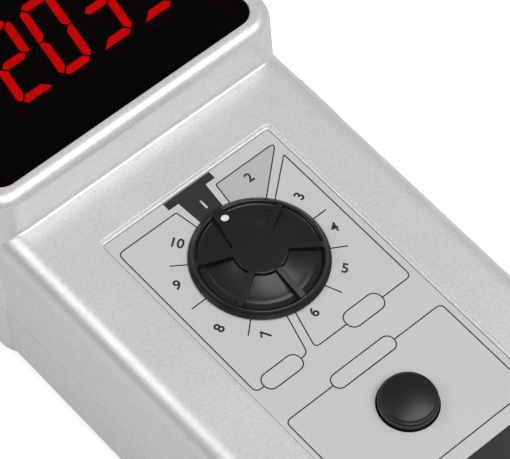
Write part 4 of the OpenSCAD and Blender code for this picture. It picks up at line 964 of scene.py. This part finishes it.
def segmentShapes(shown, v):
    # a and d lie at the top and bottom, f b e c upright, g in the middle; outer edges are the longer
    # ones, and the outer corner between two lit segments is cut off
    x, y, t, gap = v["width"] / 2, v["height"] / 2, v["segment"], v["gap"]

    def cut(first, second):
        return v["nick"] if first in shown and second in shown else v["noNick"]

    def lying(left, right):
        return np.array([(-x + gap + left, y), (-x + gap + left / 2, y - left / 2), (-x + t + gap, y - t),
                         (x - t - gap, y - t), (x - gap - right / 2, y - right / 2), (x - gap - right, y)])

    def upright(nick):
        return np.array([(x, y - gap - nick), (x - nick / 2, y - gap - nick / 2), (x - t, y - t - gap),
                         (x - t, t / 2 + gap), (x - t / 2, gap / 2), (x, gap / 2)])

    middle = np.array([(-x + t / 2 + gap, 0), (-x + t + gap, -t / 2), (x - t - gap, -t / 2),
                       (x - t / 2 - gap, 0), (x - t - gap, t / 2), (-x + t + gap, t / 2)])
    flipX, flipY = np.array([-1, 1]), np.array([1, -1])
    return dict(a=lying(cut("a", "f"), cut("a", "b")), b=upright(cut("a", "b")),
                c=(upright(cut("c", "d")) * flipY)[::-1],
                d=(lying(cut("d", "e"), cut("c", "d")) * flipY)[::-1],
                e=upright(cut("d", "e")) * flipX * flipY, f=(upright(cut("a", "f")) * flipX)[::-1],
                g=middle)


def litFigure(node, figure, v):
    box = nodeBox(node)
    middle = (box[0] + box[1])[:2] / 2 + v["shift"]
    low = box[1, 2] + v["lift"]
    shapes = segmentShapes(segmentsOf[figure], v)
    lean = math.tan(math.radians(v["lean"]))
    parts = []
    for name in segmentsOf[figure]:
        corners = shapes[name].copy()
        corners[:, 0] += corners[:, 1] * lean
        parts.append(slab(corners + middle - dialCentre, low, low + v["rise"]))
    return parts


for number, figure in figureValues["shown"].items():
    node = "digit_%d" % number
    printLayer("lit_%d" % number, litFigure(node, figure, figureValues), litFinish)
print("figures lit")

# Stage, lamps and camera

viewValues = dict(place=(-193.93, -214.19, 474.03), right=(0.7486, -0.6622, 0.0331),
                  down=(-0.5445, -0.6425, -0.5391), forward=(0.3782, 0.3856, -0.8416),
                  focalPixels=3152.4, imageWidth=510, sensor=36, clip=(0.01, 20))


def makeCamera(v):
    lensData = bpy.data.cameras.new("view")
    lensData.sensor_fit = "HORIZONTAL"
    lensData.sensor_width = v["sensor"]
    lensData.lens = v["focalPixels"] * v["sensor"] / v["imageWidth"]
    lensData.clip_start, lensData.clip_end = v["clip"]
    camera = newObject("view", lensData)
    right, down, forward = (Vector(v[key]).normalized() for key in ("right", "down", "forward"))
    turn = Matrix((right, -down, -forward)).transposed().to_4x4()
    turn.translation = Vector(v["place"]) * mm
    camera.matrix_world = turn
    bpy.context.scene.camera = camera


lampValues = {
    "key": dict(direction=(0.08, -0.39, 0.91), distance=1.0, size=(1.15, 0.68), strength=8.2),
    "left": dict(direction=(-0.6, 0.386, 0.7), distance=1.0, size=(0.5, 0.5), strength=1.9),
}
lampTarget = (0, -0.01, 0.03)


def softBox(name, v):
    # a rectangular lamp that looks at the object from a direction, sizes in metres
    data = bpy.data.lights.new(name, "AREA")
    data.shape = "RECTANGLE"
    data.size, data.size_y = v["size"]
    data.energy = v["strength"]
    lamp = newObject(name, data)
    away = Vector(v["direction"]).normalized()
    lamp.location = Vector(lampTarget) + away * v["distance"]
    lamp.rotation_euler = away.to_track_quat("Z", "Y").to_euler()


floorValues = dict(half=0.32, drop=0.0002, nearest=0.004, color=(0.78, 0.765, 0.755, 1), rough=0.9,
                   glow=(0.6, 0.61, 0.62, 1))


def makeFloor(v):
    # a square in metres that glows for the camera only; it is clear from below and for very short rays
    size = v["half"]
    mesh = bpy.data.meshes.new("floor")
    mesh.from_pydata([(-size, -size, 0), (size, -size, 0), (size, size, 0), (-size, size, 0)], [],
                     [(0, 1, 2, 3)])
    floor = newObject("floor", mesh)
    finish = bpy.data.materials.new("floor")
    finish.use_nodes = True
    tree = finish.node_tree
    shader = tree.nodes["Principled BSDF"]
    shader.inputs["Base Color"].default_value = v["color"]
    shader.inputs["Roughness"].default_value = v["rough"]
    shader.inputs["Specular IOR Level"].default_value = 0
    path = tree.nodes.new("ShaderNodeLightPath")
    tree.links.new(path.outputs["Is Camera Ray"], shader.inputs["Emission Strength"])
    side = tree.nodes.new("ShaderNodeNewGeometry")
    seenFrom = rangeNode(tree, 0, 1, 1, 0)
    tree.links.new(side.outputs["Backfacing"], seenFrom.inputs["Value"])
    far = tree.nodes.new("ShaderNodeMath")
    far.operation = "GREATER_THAN"
    far.inputs[1].default_value = v["nearest"]
    tree.links.new(path.outputs["Ray Length"], far.inputs[0])
    shown = tree.nodes.new("ShaderNodeMath")
    shown.operation = "MULTIPLY"
    tree.links.new(seenFrom.outputs["Result"], shown.inputs[0])
    tree.links.new(far.outputs[0], shown.inputs[1])
    tree.links.new(shown.outputs[0], shader.inputs["Alpha"])
    shader.inputs["Emission Color"].default_value = v["glow"]
    mesh.materials.append(finish)
    floor.location.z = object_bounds()[0][2] - v["drop"]
    floor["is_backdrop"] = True


worldValues = dict(level=0.28, dark=0.05, darkSide=(0.1, -0.5), darkHeight=(0.05, 0.5))


def makeWorld(v):
    # white for the camera; for all other rays an even room that is dark low down on the left
    world = bpy.data.worlds.new("studio")
    world.use_nodes = True
    tree = world.node_tree
    link = tree.links.new
    fill = tree.nodes["Background"]
    fill.inputs["Color"].default_value = (1, 1, 1, 1)
    way = tree.nodes.new("ShaderNodeTexCoord")
    parts = tree.nodes.new("ShaderNodeSeparateXYZ")
    link(way.outputs["Generated"], parts.inputs[0])
    leftward = rangeNode(tree, *v["darkSide"], 0, 1)
    low = rangeNode(tree, *v["darkHeight"], 1, 0)
    for node, axis in ((leftward, "X"), (low, "Z")):
        node.interpolation_type = "SMOOTHSTEP"
        link(parts.outputs[axis], node.inputs["Value"])
    dark = tree.nodes.new("ShaderNodeMath")
    dark.operation = "MULTIPLY"
    link(leftward.outputs["Result"], dark.inputs[0])
    link(low.outputs["Result"], dark.inputs[1])
    room = rangeNode(tree, 0, 1, v["level"], v["level"] * v["dark"])
    link(dark.outputs[0], room.inputs["Value"])
    path = tree.nodes.new("ShaderNodeLightPath")
    strength = rangeNode(tree, 0, 1, 0, 1)
    link(path.outputs["Is Camera Ray"], strength.inputs["Value"])
    link(room.outputs["Result"], strength.inputs["To Min"])
    link(strength.outputs["Result"], fill.inputs["Strength"])
    bpy.context.scene.world = world


makeCamera(viewValues)
makeFloor(floorValues)
makeWorld(worldValues)
for lampName, lamp in lampValues.items():
    softBox(lampName, lamp)
bpy.context.scene.view_settings.view_transform = "Standard"
